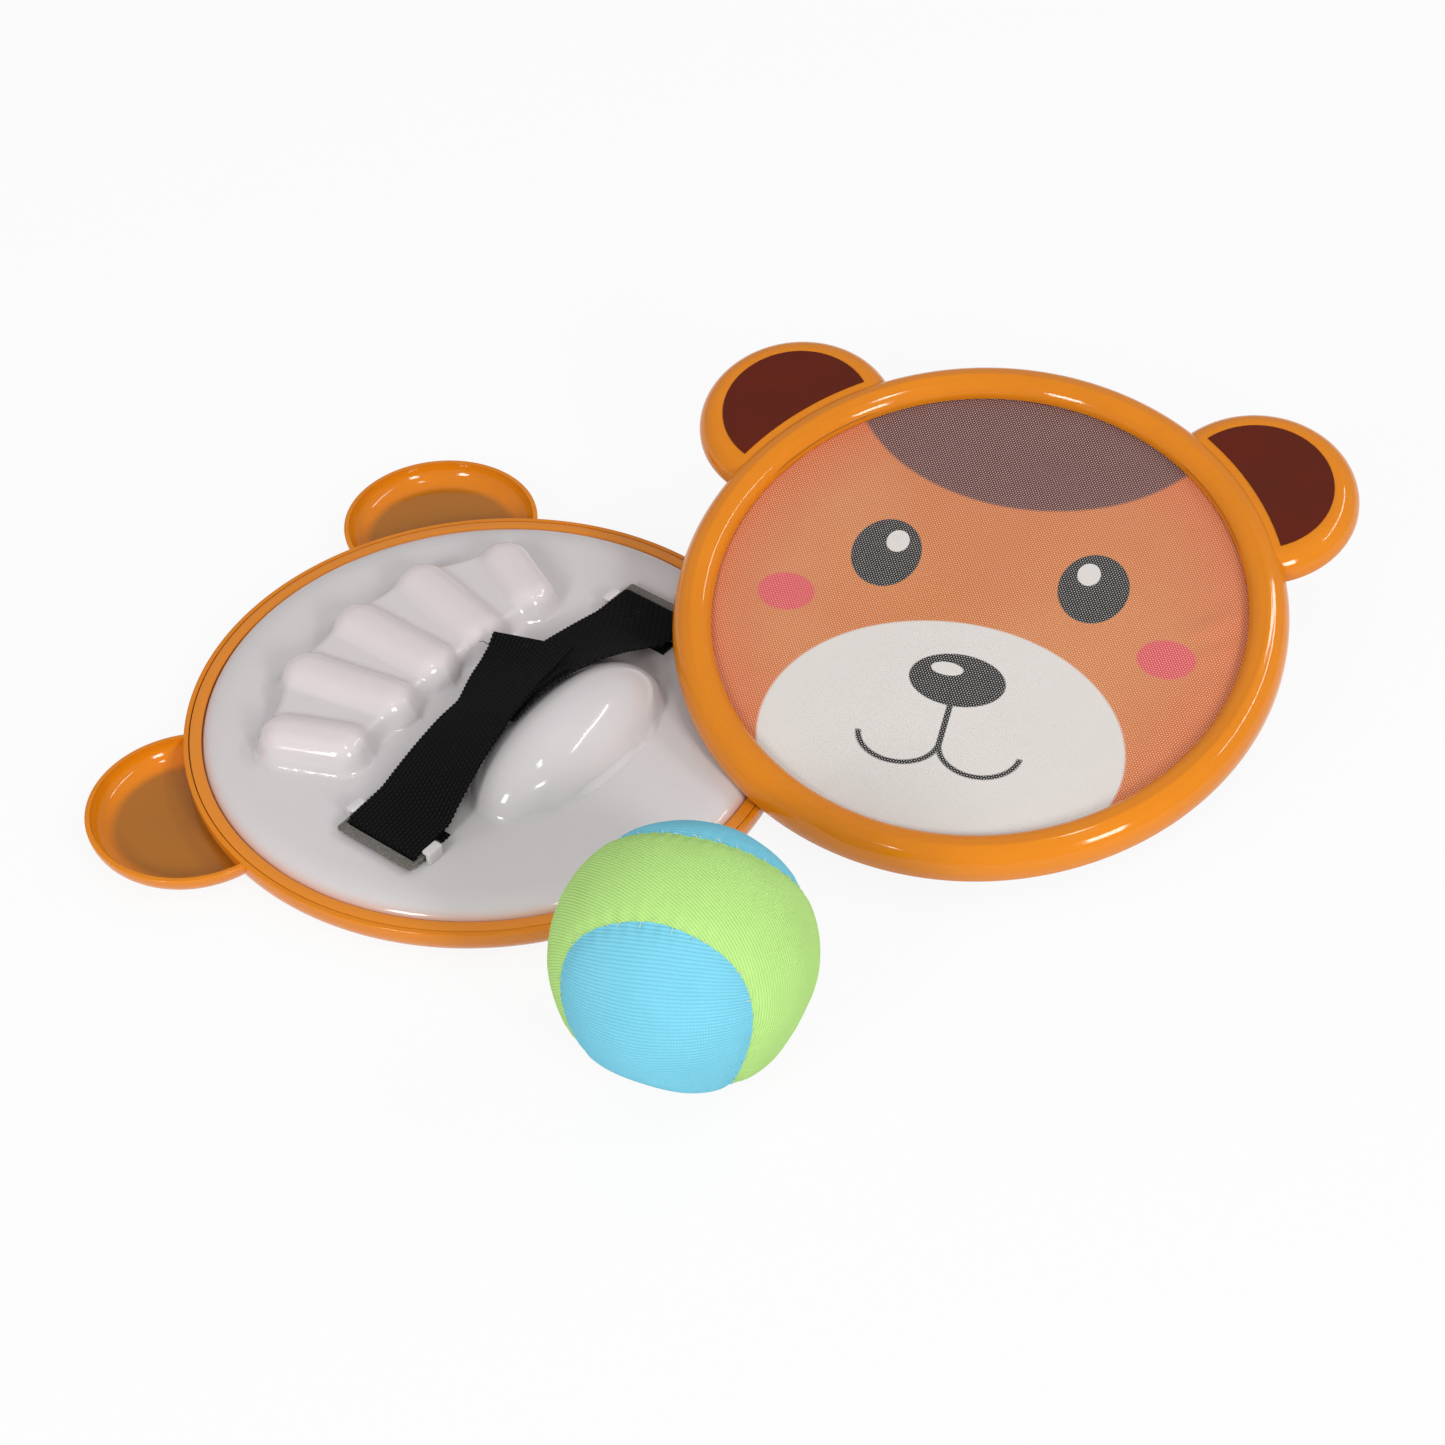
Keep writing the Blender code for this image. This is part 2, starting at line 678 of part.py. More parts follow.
def facing(face_direction, heading):
    """Rotation that points a paddle's face and turns its ears to a heading."""
    z_axis = face_direction.normalized()
    level = Vector((math.cos(heading), math.sin(heading), 0.0))
    y_axis = (level - z_axis * level.dot(z_axis)).normalized()
    x_axis = y_axis.cross(z_axis)
    return Matrix((x_axis, y_axis, z_axis)).transposed()


def right_rotation():
    x, y = RIGHT_LEAN
    return facing(Vector((x, y, math.sqrt(1.0 - x * x - y * y))), RIGHT_HEADING)


def right_height(rotation, pieces):
    """Height at which the leaning paddle touches the left one or the floor."""
    centre = Vector(RIGHT_OFFSET)
    lift = 0.0
    for ring in range(CONTACT_RINGS):
        radius = RING_RADIUS - ring * CONTACT_RING_SPACING
        depth = -back_rise(radius)
        for step in range(CONTACT_STEPS):
            angle = 2 * math.pi * step / CONTACT_STEPS
            local = Vector((radius * math.cos(angle), radius * math.sin(angle), depth))
            point = rotation @ local
            distance = (centre + point.xy).length
            if distance < RING_RADIUS:
                lift = max(lift, RING_HEIGHT + back_rise(distance) - point.z)
    lowest = min((rotation @ vert.co).z for _, mesh, _ in pieces for vert in mesh.vertices)
    return max(lift + GAP / rotation[2][2], -lowest)


def seam_point(t):
    """Unit vector of the ball's seam, which runs round the ball as t goes from 0 to 4 pi."""
    polar = math.pi / 2 - (math.pi / 2 - BALL_SEAM_POLAR) * math.cos(t)
    around = t / 2 + BALL_SEAM_POLAR * math.sin(2 * t)
    level = math.sin(polar)
    return Vector((level * math.cos(around), level * math.sin(around), math.cos(polar)))


def panel_edge_point(t):
    """Seam point moved into the upper panel by half of the seam's gap."""
    small = 1e-4
    here = seam_point(t)
    along = (seam_point(t + small) - seam_point(t - small)).normalized()
    inward = here.cross(along).normalized()
    return (here + inward * (BALL_SEAM_GAP / 2 / BALL_RADIUS)).normalized()


def panel_mesh(name):
    """One dog-bone cover panel: strips from the seam to its mirror image, with a thickness."""
    bm = bmesh.new()
    shells = []
    for radius in (BALL_RADIUS, BALL_RADIUS - BALL_COVER):
        rows = []
        for step in range(2 * BALL_SEAM_STEPS + 1):
            t = -math.pi + math.pi * step / BALL_SEAM_STEPS
            edge = panel_edge_point(t)
            if step in (0, 2 * BALL_SEAM_STEPS):
                edge.x = 0.0
                rows.append([bm.verts.new(edge.normalized() * radius)])
                continue
            other = Vector((-edge.x, edge.y, edge.z))
            shares = [column / BALL_ACROSS_STEPS for column in range(BALL_ACROSS_STEPS + 1)]
            rows.append([bm.verts.new(edge.slerp(other, share) * radius) for share in shares])
        shells.append(rows)
    for rows in shells:
        for first, second in zip(rows, rows[1:]):
            for i in range(BALL_ACROSS_STEPS):
                corners = {}
                for row, column in ((first, i), (first, i + 1), (second, i + 1), (second, i)):
                    corners[row[min(column, len(row) - 1)]] = True
                if len(corners) > 2:
                    bm.faces.new(list(corners))
    outer, inner = shells
    for column in (0, -1):
        outer_edge = [row[column] for row in outer]
        inner_edge = [row[column] for row in inner]
        for index in range(2 * BALL_SEAM_STEPS):
            top = (outer_edge[index], outer_edge[index + 1])
            bottom = (inner_edge[index + 1], inner_edge[index])
            bm.faces.new((*top, *bottom))
    return finish(bm, name)


def filling_mesh():
    bm = bmesh.new()
    radius = BALL_RADIUS - BALL_COVER - BALL_FILLING_GAP
    segments = BALL_FILLING_SEGMENTS
    bmesh.ops.create_uvsphere(bm, u_segments=segments, v_segments=segments // 2, radius=radius)
    return finish(bm, "ball_filling")


def place(name, mesh, spec, parent):
    """Puts a copy of a mesh in the scene as its own object."""
    obj = bpy.data.objects.new(name, mesh)
    if not mesh.materials:
        mesh.materials.append(make_material(spec))
    obj.parent = parent
    bpy.context.scene.collection.objects.link(obj)
    return obj


def add_empty(name, matrix, parent=None):
    empty = bpy.data.objects.new(name, None)
    bpy.context.scene.collection.objects.link(empty)
    empty.parent = parent
    empty.matrix_local = matrix
    return empty


def build_paddle(prefix, matrix, pieces, parent):
    holder = add_empty(prefix + "_paddle", matrix, parent)
    for name, mesh, spec in pieces:
        place(f"{prefix}_{name}", mesh, spec, holder)


def build_ball(parent):
    """Filling and two cover panels: the upper one green, its twin under it blue."""
    lean = Matrix.Rotation(BALL_LEAN[0], 4, "X") @ Matrix.Rotation(BALL_LEAN[1], 4, "Y")
    turn = lean @ Matrix.Rotation(BALL_TURN, 4, "Z")
    place_matrix = Matrix.Translation((*BALL_OFFSET, BALL_RADIUS)) @ turn
    holder = add_empty("ball", place_matrix, parent)
    panel = panel_mesh("ball_panel")
    twin = panel.copy()
    twin.transform(Matrix.Rotation(math.pi, 4, (1, 1, 0)))
    place("ball_green_panel", panel, GREEN, holder)
    place("ball_blue_panel", twin, BLUE, holder)
    place("ball_filling", filling_mesh(), FOAM, holder)


def centre_set(root):
    """Moves the set so that its box stands on the floor about the origin."""
    bpy.context.view_layer.update()
    low = Vector((math.inf,) * 3)
    high = -low
    for obj in bpy.context.scene.objects:
        if obj.type != "MESH":
            continue
        for vert in obj.data.vertices:
            point = obj.matrix_world @ vert.co
            low = Vector(map(min, low, point))
            high = Vector(map(max, high, point))
    root.location = Vector((-(low.x + high.x) / 2, -(low.y + high.y) / 2, -low.z))


def main():
    clear_scene()
    root = add_empty("catch_set", Matrix.Identity(4))
    pieces = paddle_pieces()
    left = facing(Vector((0, 0, -1)), LEFT_HEADING).to_4x4()
    left.translation = (0, 0, RING_HEIGHT)
    build_paddle("left", left, pieces, root)
    rotation = right_rotation()
    right = rotation.to_4x4()
    right.translation = (*RIGHT_OFFSET, right_height(rotation, pieces))
    build_paddle("right", right, pieces, root)
    build_ball(root)
    centre_set(root)


main()
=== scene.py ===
"""Hook and loop catch set: two animal-head paddles and a soft ball, dressed for rendering.

A paddle is made in its own frame: z = 0 is its back edge, +z points out of its face and
+y points between its ears. The grip on its back is made in a grip frame, whose height
runs out of the back, whose x runs along the strap and whose y points to the fingers.
"""

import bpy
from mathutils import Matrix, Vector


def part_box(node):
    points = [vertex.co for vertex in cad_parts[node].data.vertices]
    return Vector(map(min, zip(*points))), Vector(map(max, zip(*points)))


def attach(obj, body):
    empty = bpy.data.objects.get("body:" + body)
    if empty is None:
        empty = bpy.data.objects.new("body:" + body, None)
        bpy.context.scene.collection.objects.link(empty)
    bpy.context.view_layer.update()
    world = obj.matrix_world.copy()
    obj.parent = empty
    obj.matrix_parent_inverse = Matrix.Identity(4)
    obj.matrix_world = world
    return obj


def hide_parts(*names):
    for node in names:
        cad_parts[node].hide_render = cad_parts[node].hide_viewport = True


bl_info = {
    "name": "Hook and loop catch set",
    "version": (1, 0, 0),
    "blender": (4, 5, 0),
    "location": "View3D > Sidebar > Catch set",
    "description": "Builds two animal-head catch paddles and a soft ball",
    "category": "Add Mesh",
}

import math
import random

import bmesh
import bpy
from bpy.props import FloatProperty, FloatVectorProperty, PointerProperty
from mathutils import Matrix, Vector, kdtree, noise

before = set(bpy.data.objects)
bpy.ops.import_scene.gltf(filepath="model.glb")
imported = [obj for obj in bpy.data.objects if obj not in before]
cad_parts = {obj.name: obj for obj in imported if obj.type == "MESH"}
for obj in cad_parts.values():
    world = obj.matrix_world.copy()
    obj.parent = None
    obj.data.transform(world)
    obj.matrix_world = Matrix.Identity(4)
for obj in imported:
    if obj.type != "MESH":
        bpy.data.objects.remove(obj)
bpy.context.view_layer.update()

# Roundness of the turned pieces and clearance between pieces
RING_STEPS = 192
EAR_STEPS = 96
ARC_STEPS = 14
GAP = 0.0003

# Details of the frame
SKIRT_BEVEL = 0.0008
SKIRT_WALL = 0.0016
CORE_WALL = 0.0022
LIP_HEIGHT = 0.0011
CREST_INSET = 0.0065
CREST_BEAD = 0.0003
CREST_BEAD_WIDTH = 0.0009
RING_WALL_HEIGHT = 0.0023
CLAMP_BEVEL = 0.0003
EAR_FLAT_RADIUS = 0.0245
EAR_WALL = 0.0015
EAR_RIM_HEIGHT = 0.0005
EAR_RIM_ROUND = 0.0003
EAR_PATCH_RADIUS = 0.024
EAR_FLOOR_INSET = 0.0008
THIN_SHARE = 0.95
THIN_REACH = 0.0032

# Layers inside the ring, from the back to the face
CLAMP_BAND = 0.0038
CLAMP_THICKNESS = 0.0012
FLANGE_THICKNESS = 0.0012
SHEET_THICKNESS = 0.0004
FLANGE_BOTTOM = CLAMP_THICKNESS + GAP
SHEET_BOTTOM = FLANGE_BOTTOM + FLANGE_THICKNESS + GAP
NET_BOTTOM = SHEET_BOTTOM + SHEET_THICKNESS + GAP
LEDGE = NET_BOTTOM + SHEET_THICKNESS + GAP

# Nets and sheets
SHEET_RINGS = 12
NET_RINGS = 68
NET_STEPS = 288
NET_WAVE = 0.0003

# Folds of the net: from, to, height and half width
NET_FOLDS = (
    ((0.083, 0.018), (0.061, 0.001), 0.0012, 0.0034),
    ((0.084, 0.005), (0.066, -0.006), 0.0007, 0.0030),
    ((0.080, -0.014), (0.071, -0.012), 0.0004, 0.0030),
    ((-0.0525, 0.064), (-0.046, 0.052), 0.0005, 0.0026),
    ((0.033, 0.077), (0.030, 0.067), 0.0005, 0.0026),
    ((-0.083, -0.016), (-0.072, -0.015), 0.0004, 0.0028),
    ((-0.028, -0.079), (-0.025, -0.068), 0.0003, 0.0030),
    ((0.052, -0.065), (0.045, -0.057), 0.0004, 0.0028),
)

# Tray, in the grip frame
GRIP_TURN = math.radians(11.5)
TRAY_WALL = 0.0015
TRAY_EDGE_WIDTH = 0.010
TRAY_STEPS = 500
TRAY_RINGS = 124
TRAY_INNER_RINGS = 34
TRAY_SMOOTHING = 3
TRAY_CRISP_EDGE = 0.001
# Painted orange reflection and shade of the ring on the tray's edge: its strongest share and its width
RING_REFLECTION_PAINT = 0.9
RING_REFLECTION_PAINT_WIDTH = 0.0040
RIDGE_STEP = math.radians(12.0)
OUTER_RIDGE_STEP = math.radians(12.8)
RIDGE_INDICES = (-2, -1, 0, 1, 2)
RIDGE_FAN_RADIUS = 0.1140
RIDGE_FAN_TOP = 0.0393
RIDGE_LENGTH = 0.0480
OUTER_RIDGE_LENGTH = 0.0365
RIDGE_HALF_WIDTH = 0.0092
RIDGE_SUNK = 0.0025
RIDGE_SQUARENESS = 2.55
VALLEY_END_INSET = 0.0005
VALLEY_HEIGHT = 0.0060
VALLEY_INSET = 0.0030
VALLEY_SLOPE = 0.0045
VALLEY_BLEND = 0.0050
FOOT_BLEND = 0.0030
HUMP_CENTRE = (-0.0015, -0.0310)
HUMP_HALF_SIZE = (0.0386, 0.0189)
HUMP_SUNK = 0.0020
HUMP_SQUARENESS = 2.2
HOOK_THICKNESS = 0.0019
HOOK_LENGTH = 0.006
HOOK_ROOF = 0.0016
HOOK_REACH = 0.0013
HOOK_BEVEL = 0.0007

# Strap, in the grip frame
STRAP_THICKNESS = 0.0009
STRAP_Y = -0.0155
STRAP_FOLD_X = 0.0656
STRAP_RISE = 0.0036
STRAP_LEAN = 0.0124
STRAP_BOW = 0.0046
STRAP_LEAN_REACH = 0.050
OVER_END_X = -0.017
OVER_KINK_X = 0.0115
OVER_END_SHIFT = 0.0085
OVER_END_SLANT = 0.0048
OVER_END_RISE = 0.003
UNDER_END_X = 0.014
OVER_END_FLARE = 0.0020
OVER_KINK_PINCH = 0.0012
OVER_KINK_LENGTH = 0.006
HEM_LENGTH = 0.0085
HEM_THICKNESS = 0.0006
HEM_STEP = 0.0009
LOOSE_THREADS = (
    (
        (-0.0105, 0.0045, 0.0160),
        (-0.0106, 0.0078, 0.0163),
        (-0.0107, 0.0104, 0.0165),
        (-0.0099, 0.0113, 0.0163),
    ),
    (
        (-0.0160, -0.0190, 0.0150),
        (-0.0186, -0.0212, 0.0136),
        (-0.0208, -0.0226, 0.0122),
        (-0.0228, -0.0229, 0.0112),
        (-0.0240, -0.0219, 0.0107),
        (-0.0243, -0.0205, 0.0108),
    ),
)
THREAD_RADIUS = 0.00011
PATCH_THICKNESS = 0.0004
PATCH_LENGTH = 0.026
PATCH_INSET = 0.002
LOOP_THICKNESS = 0.0012
LOOP_STRIP = 0.0030
LOOP_SLOT = 0.0018
LOOP_INNER_BAR = 0.0091
LOOP_LEG = 0.0010
LOOP_SIDE_GAP = 0.0003
LOOP_CORNER = 0.0007
LOOP_BEVEL = 0.00015
RETURN_BOTTOM = 0.003 + GAP
LOOP_BOTTOM = RETURN_BOTTOM + STRAP_THICKNESS + GAP
LOOP_TOP = LOOP_BOTTOM + LOOP_THICKNESS
STRAP_END_BOTTOM = LOOP_TOP + GAP
LOOP_BAR_OUTER = STRAP_FOLD_X - STRAP_THICKNESS - GAP
OVER_STACK = STRAP_THICKNESS + 2 * PATCH_THICKNESS + 3 * GAP
RETURN_LENGTH = 0.014
PATH_STEPS = 60
PATCH_STEPS = 20
STRAP_STEPS_ALONG = 300
STRAP_STEPS_ACROSS = 16
EDGE_PITCH = 0.0015
EDGE_TOOTH = 0.00022

# Where the paddles point, seen from above
FACE_DIRECTION = {"left": (0.0, 0.0, -1.0), "right": (-0.070, -0.234, 0.96971)}
HEADING = {"left": math.radians(151.8), "right": math.radians(71.9)}

# Ball
BALL_SEAM_POLAR = 0.435
BALL_TURN = math.radians(-108.1)
BALL_LEAN = (0.0702, -0.0524)
SEAM_STEPS = 150
ACROSS_STEPS = 64
LOBE_END = 0.95
SEAM_DIP = 0.0006
SEAM_WIDTH = 0.0026
SEAM_SAMPLES = 720
PUCKER_PITCH = 0.0046
PUCKER_DEPTH = 0.00035
COVER_THICKNESS = 0.0012
STITCH_ENDS = 60
STITCH_RADIUS = 0.00010

# Dents of the soft ball, as seen from its middle: direction, depth and half width in radians
DENTS = (
    ((-0.32, -0.65, -0.69), 0.060, 0.30),
    ((0.86, -0.33, -0.38), 0.040, 0.34),
    ((-0.80, 0.10, -0.58), 0.025, 0.35),
    ((0.55, 0.72, -0.42), 0.030, 0.40),
    ((0.20, 0.30, 0.93), 0.012, 0.35),
)

# Name, place, width, length and share of the lamp power of each soft box
LAMPS = (
    ("left_box", (-0.73, -1.04, 0.80), 0.26, 0.42, 1.5),
    ("right_box", (0.70, -1.12, 0.72), 0.26, 0.42, 1.5),
    ("top_box", (0.26, -0.40, 1.32), 0.08, 0.22, 0.25),
    ("long_strip", (0.98, 0.12, 1.00), 0.06, 0.90, 0.60),
)
FLOOR_SIZE = 4.0
FLOOR_BOTTOM = -0.0002
FLOOR_GLOW = 0.90
WHITE = (1.0, 1.0, 1.0)

# Coordinates that a piece carries in its own UV map, in millimetres
FLAT_MAP = "Flat"
FLAT_UNIT = 200.0


# Kinds of properties


def length_of(name, about, default):
    return FloatProperty(name=name, description=about, default=default, unit="LENGTH")


def angle_of(name, about, degrees):
    return FloatProperty(name=name, description=about, default=math.radians(degrees), subtype="ANGLE")


def colour_of(name, about, default):
    return FloatVectorProperty(name=name, description=about, default=default, subtype="COLOR")


def place_of(name, about, default):
    return FloatVectorProperty(name=name, description=about, default=default, subtype="XYZ")


class CatchSetSizes(bpy.types.PropertyGroup):
    """Sizes of the paddles and the ball"""

    ring_radius: length_of("Ring radius", "Outer radius of a paddle's ring", 0.095)
    ring_band: length_of("Ring band", "Width of the ring, seen from the face", 0.0124)
    ring_height: length_of("Ring height", "Height of the ring from back to crest", 0.010)
    ear_radius: length_of("Ear radius", "Radius of an ear", 0.0322)
    ear_distance: length_of("Ear distance", "From the ring's axis to an ear's", 0.0966)
    ear_angle: angle_of("Ear angle", "Of an ear from the head's middle line", 50.5)
    ear_height: length_of("Ear height", "Of an ear's flat top over the back edge", 0.008)
    tray_rise: length_of("Tray rise", "Height of the tray out of the back", 0.003)
    ridge_height: length_of("Ridge height", "Height of the finger ridges", 0.0095)
    hump_height: length_of("Hump height", "Height of the palm hump", 0.0173)
    strap_width: length_of("Strap width", "Width of the webbing", 0.0268)
    ball_radius: length_of("Ball radius", "Radius of the ball", 0.0382)
    net_pitch: length_of("Net pitch", "Distance between the net's holes", 0.00087)


class CatchSetColours(bpy.types.PropertyGroup):
    """Colours of the pieces"""

    orange: colour_of("Orange", "Frame and clamp ring", (0.75, 0.232, 0.005))
    orange_deep: colour_of("Deep orange", "Thin places of the frame", (0.36, 0.135, 0.014))
    white: colour_of("White", "Tray", (0.66, 0.615, 0.62))
    brown: colour_of("Brown", "Ear patches", (0.108, 0.0135, 0.0055))
    ground: colour_of("Face ground", "Main colour of the print", (0.61, 0.170, 0.032))
    muzzle: colour_of("Muzzle", "Light places of the print", (0.70, 0.66, 0.63))
    cap: colour_of("Cap", "Forehead of the print", (0.135, 0.040, 0.034))
    ink: colour_of("Ink", "Eyes, nose and mouth", (0.018, 0.018, 0.019))
    cheek: colour_of("Cheek", "Cheeks", (0.68, 0.075, 0.085))
    webbing: colour_of("Webbing", "Strap", (0.0030, 0.0031, 0.0030))
    loop: colour_of("Loop", "Strap loops", (0.20, 0.185, 0.165))
    green: colour_of("Green", "Upper ball panel", (0.47, 0.76, 0.225))
    blue: colour_of("Blue", "Lower ball panel", (0.19, 0.60, 0.77))


class CatchSetStage(bpy.types.PropertyGroup):
    """Camera and lamps"""

    camera_place: place_of("Camera", "Place of the camera", (-0.003988, -0.711697, 0.689234))
    camera_pitch: angle_of("Pitch", "Camera's angle below level", 43.133)
    camera_roll: angle_of("Roll", "Camera's turn about its axis", -2.039)
    lens: FloatProperty(name="Lens", description="Focal length in millimetres", default=80.03)
    lamp_power: FloatProperty(name="Lamp power", description="Power of a soft box in watts", default=4.9)
    world_level: FloatProperty(name="World level", description="Brightness of the surroundings", default=0.485)


def sizes():
    return bpy.context.scene.catch_set_sizes


def colours():
    return bpy.context.scene.catch_set_colours


# Shaders


class Value:
    """Number that comes out of a shader node; sums and products of it are Math nodes."""

    def __init__(self, surface, socket):
        self.surface = surface
        self.socket = socket

    def __add__(self, other):
        return self.surface.math("ADD", self, other)

    def __sub__(self, other):
        return self.surface.math("SUBTRACT", self, other)

    def __mul__(self, other):
        return self.surface.math("MULTIPLY", self, other)

    def __truediv__(self, other):
        return self.surface.math("DIVIDE", self, other)

    def __pow__(self, other):
        return self.surface.math("POWER", self, other)


def feed(target, value):
    """Links a node's input to what comes out of another, or sets the input's own value."""
    if isinstance(value, Value):
        value = value.socket
    if isinstance(value, bpy.types.NodeSocket):
        target.id_data.links.new(value, target)
    elif hasattr(value, "__len__") and len(value) == 3 and len(target.default_value) == 4:
        target.default_value = (*value, 1.0)
    else:
        target.default_value = value


def tinted(colour, red, green=None, blue=None):
    """A colour with its channels multiplied, by the first share where no other is given."""
    shares = (red, green or red, blue or red)
    return [channel * share for channel, share in zip(colour, shares)]


class Surface:
    """A material with a Principled shader, and short calls for the nodes before it."""

    def __init__(self, name, roughness, specular=0.5):
        self.material = bpy.data.materials.new(name)
        self.material.use_nodes = True
        self.tree = self.material.node_tree
        self.shader = self.tree.nodes["Principled BSDF"]
        self.set("Roughness", roughness)
        self.set("Specular IOR Level", specular)

    def set(self, socket, value):
        feed(self.shader.inputs[socket], value)

    def set_scatter(self, weight, radius, scale):
        self.set("Subsurface Weight", weight)
        self.set("Subsurface Radius", radius)
        self.set("Subsurface Scale", scale)

    def node(self, kind, inputs, **settings):
        made = self.tree.nodes.new(kind)
        for key, value in settings.items():
            setattr(made, key, value)
        for key, value in inputs.items():
            feed(made.inputs[key], value)
        return made

    def math(self, operation, first, second=0.0):
        made = self.node("ShaderNodeMath", {0: first, 1: second}, operation=operation)
        return Value(self, made.outputs[0])

    def most(self, *values):
        """Greatest of several values."""
        found = values[0]
        for value in values[1:]:
            found = self.math("MAXIMUM", found, value)
        return found

    def mix(self, share, first, second):
        inputs = {0: share, 6: first, 7: second}
        return self.node("ShaderNodeMix", inputs, data_type="RGBA", clamp_factor=True).outputs[2]

    def place(self):
        return self.node("ShaderNodeTexCoord", {}).outputs["Object"]

    def flat(self):
        """Two coordinates of the piece's own UV map, in millimetres."""
        uv = self.node("ShaderNodeUVMap", {}, uv_map=FLAT_MAP).outputs["UV"]
        split = self.node("ShaderNodeSeparateXYZ", {0: uv})
        return [Value(self, split.outputs[axis]) * FLAT_UNIT for axis in (0, 1)]

    def attribute(self, name):
        return Value(self, self.node("ShaderNodeAttribute", {}, attribute_name=name).outputs["Fac"])

    def noise(self, scale, detail=2.0, roughness=0.5):
        inputs = {"Vector": self.place(), "Scale": scale, "Detail": detail, "Roughness": roughness}
        return Value(self, self.node("ShaderNodeTexNoise", inputs).outputs["Fac"])

    def span(self, value, low, high, new_low=0.0, new_high=1.0):
        """Turns one range of a value into another, and stops at its ends."""
        inputs = {0: value, 1: low, 2: high, 3: new_low, 4: new_high}
        return Value(self, self.node("ShaderNodeMapRange", inputs, clamp=True).outputs[0])

    def wave(self, value):
        """Half a sine wave over each whole step of a value."""
        return self.math("SINE", self.math("FRACT", value) * math.pi)

    def bump(self, height, distance, strength=1.0, normal=None):
        inputs = {"Height": height, "Distance": distance, "Strength": strength}
        if normal is not None:
            inputs["Normal"] = normal
        return self.node("ShaderNodeBump", inputs).outputs["Normal"]


def orange_plastic():
    """Glossy moulded orange: faint clouds, browner thin places, a few fine scuffs."""
    colour = colours()
    surface = Surface("orange_plastic", 0.13, 0.4)
    cloud = surface.span(surface.noise(26.0), 0.35, 0.68)
    base = surface.mix(cloud, tinted(colour.orange, 0.93), colour.orange)
    surface.set("Base Color", surface.mix(surface.attribute("thin"), base, colour.orange_deep))
    scuff = surface.noise(520.0, 3.0, 0.7)
    surface.set("Roughness", surface.span(scuff, 0.5, 0.78, 0.07, 0.17))
    surface.set("Normal", surface.bump(surface.noise(70.0, 1.0), 0.0003, 0.05))
    surface.set_scatter(0.10, (1.0, 0.35, 0.08), 0.0015)
    return surface.material


def white_plastic():
    """Glossy white tray: painted orange reflection and shade of the ring at its edge, painted highlight on the
    ridge tops, small marks and fine scratches.
    """
    white = colours().white
    surface = Surface("white_plastic", 0.12, 0.45)
    cloud = surface.span(surface.noise(14.0), 0.35, 0.65)
    base = surface.mix(cloud, tinted(white, 0.96, 0.975, 0.975), white)
    # Painted highlight: the ridge tops, where the "top" value is, get a lighter, pinker white
    base = surface.mix(surface.attribute("top"), base, tinted(white, 1.09, 1.045, 1.06))
    # Painted orange reflection and shade of the ring, where the "edge" value is, near the tray's rim
    base = surface.mix(surface.attribute("edge"), base, (0.66, 0.36, 0.26))
    specks = surface.node("ShaderNodeTexVoronoi", {"Vector": surface.place(), "Scale": 42.0})
    dirt = surface.span(specks.outputs["Distance"], 0.012, 0.018, 0.6, 0.0)
    surface.set("Base Color", surface.mix(dirt, base, (0.16, 0.14, 0.13)))
    surface.set("Roughness", surface.span(surface.noise(700.0), 0.45, 0.75, 0.09, 0.17))
    surface.set("Normal", surface.bump(surface.noise(48.0, 1.0), 0.0005, 0.22))
    surface.set_scatter(0.12, (1.0, 0.8, 0.75), 0.002)
    return surface.material


def brown_patch():
    """Satin dark red-brown ear plate, faintly uneven."""
    brown = colours().brown
    surface = Surface("brown_print", 0.38, 0.14)
    mottle = surface.span(surface.noise(46.0, 4.0, 0.6), 0.36, 0.64)
    base = surface.mix(mottle, tinted(brown, 0.90, 1.05, 1.05), tinted(brown, 1.08, 0.97, 0.97))
    surface.set("Base Color", base)
    grain = surface.noise(1500.0)
    surface.set("Roughness", surface.span(grain, 0.3, 0.7, 0.32, 0.45))
    surface.set("Normal", surface.bump(grain, 0.00005, 0.3))
    return surface.material


def oval(surface, x, y, centre, half_size, soft=0.03):
    """Mask of an upright oval in the face's millimetres."""
    across = (x - centre[0]) / half_size[0]
    along = (y - centre[1]) / half_size[1]
    return surface.span(across**2.0 + along**2.0, 1.0 + soft, 1.0 - soft)


def net_holes(surface, x, y, pitch):
    """Round holes on a triangular grid, one where it is open."""
    height = pitch * math.sqrt(3.0)
    masks = []
    for shift in (0.0, 0.5):
        u = surface.math("FRACT", x / pitch + shift) - 0.5
        v = (surface.math("FRACT", y / height + shift) - 0.5) * (height / pitch)
        masks.append(surface.span(surface.math("SQRT", u**2.0 + v**2.0), 0.255, 0.165))
    return surface.most(*masks)


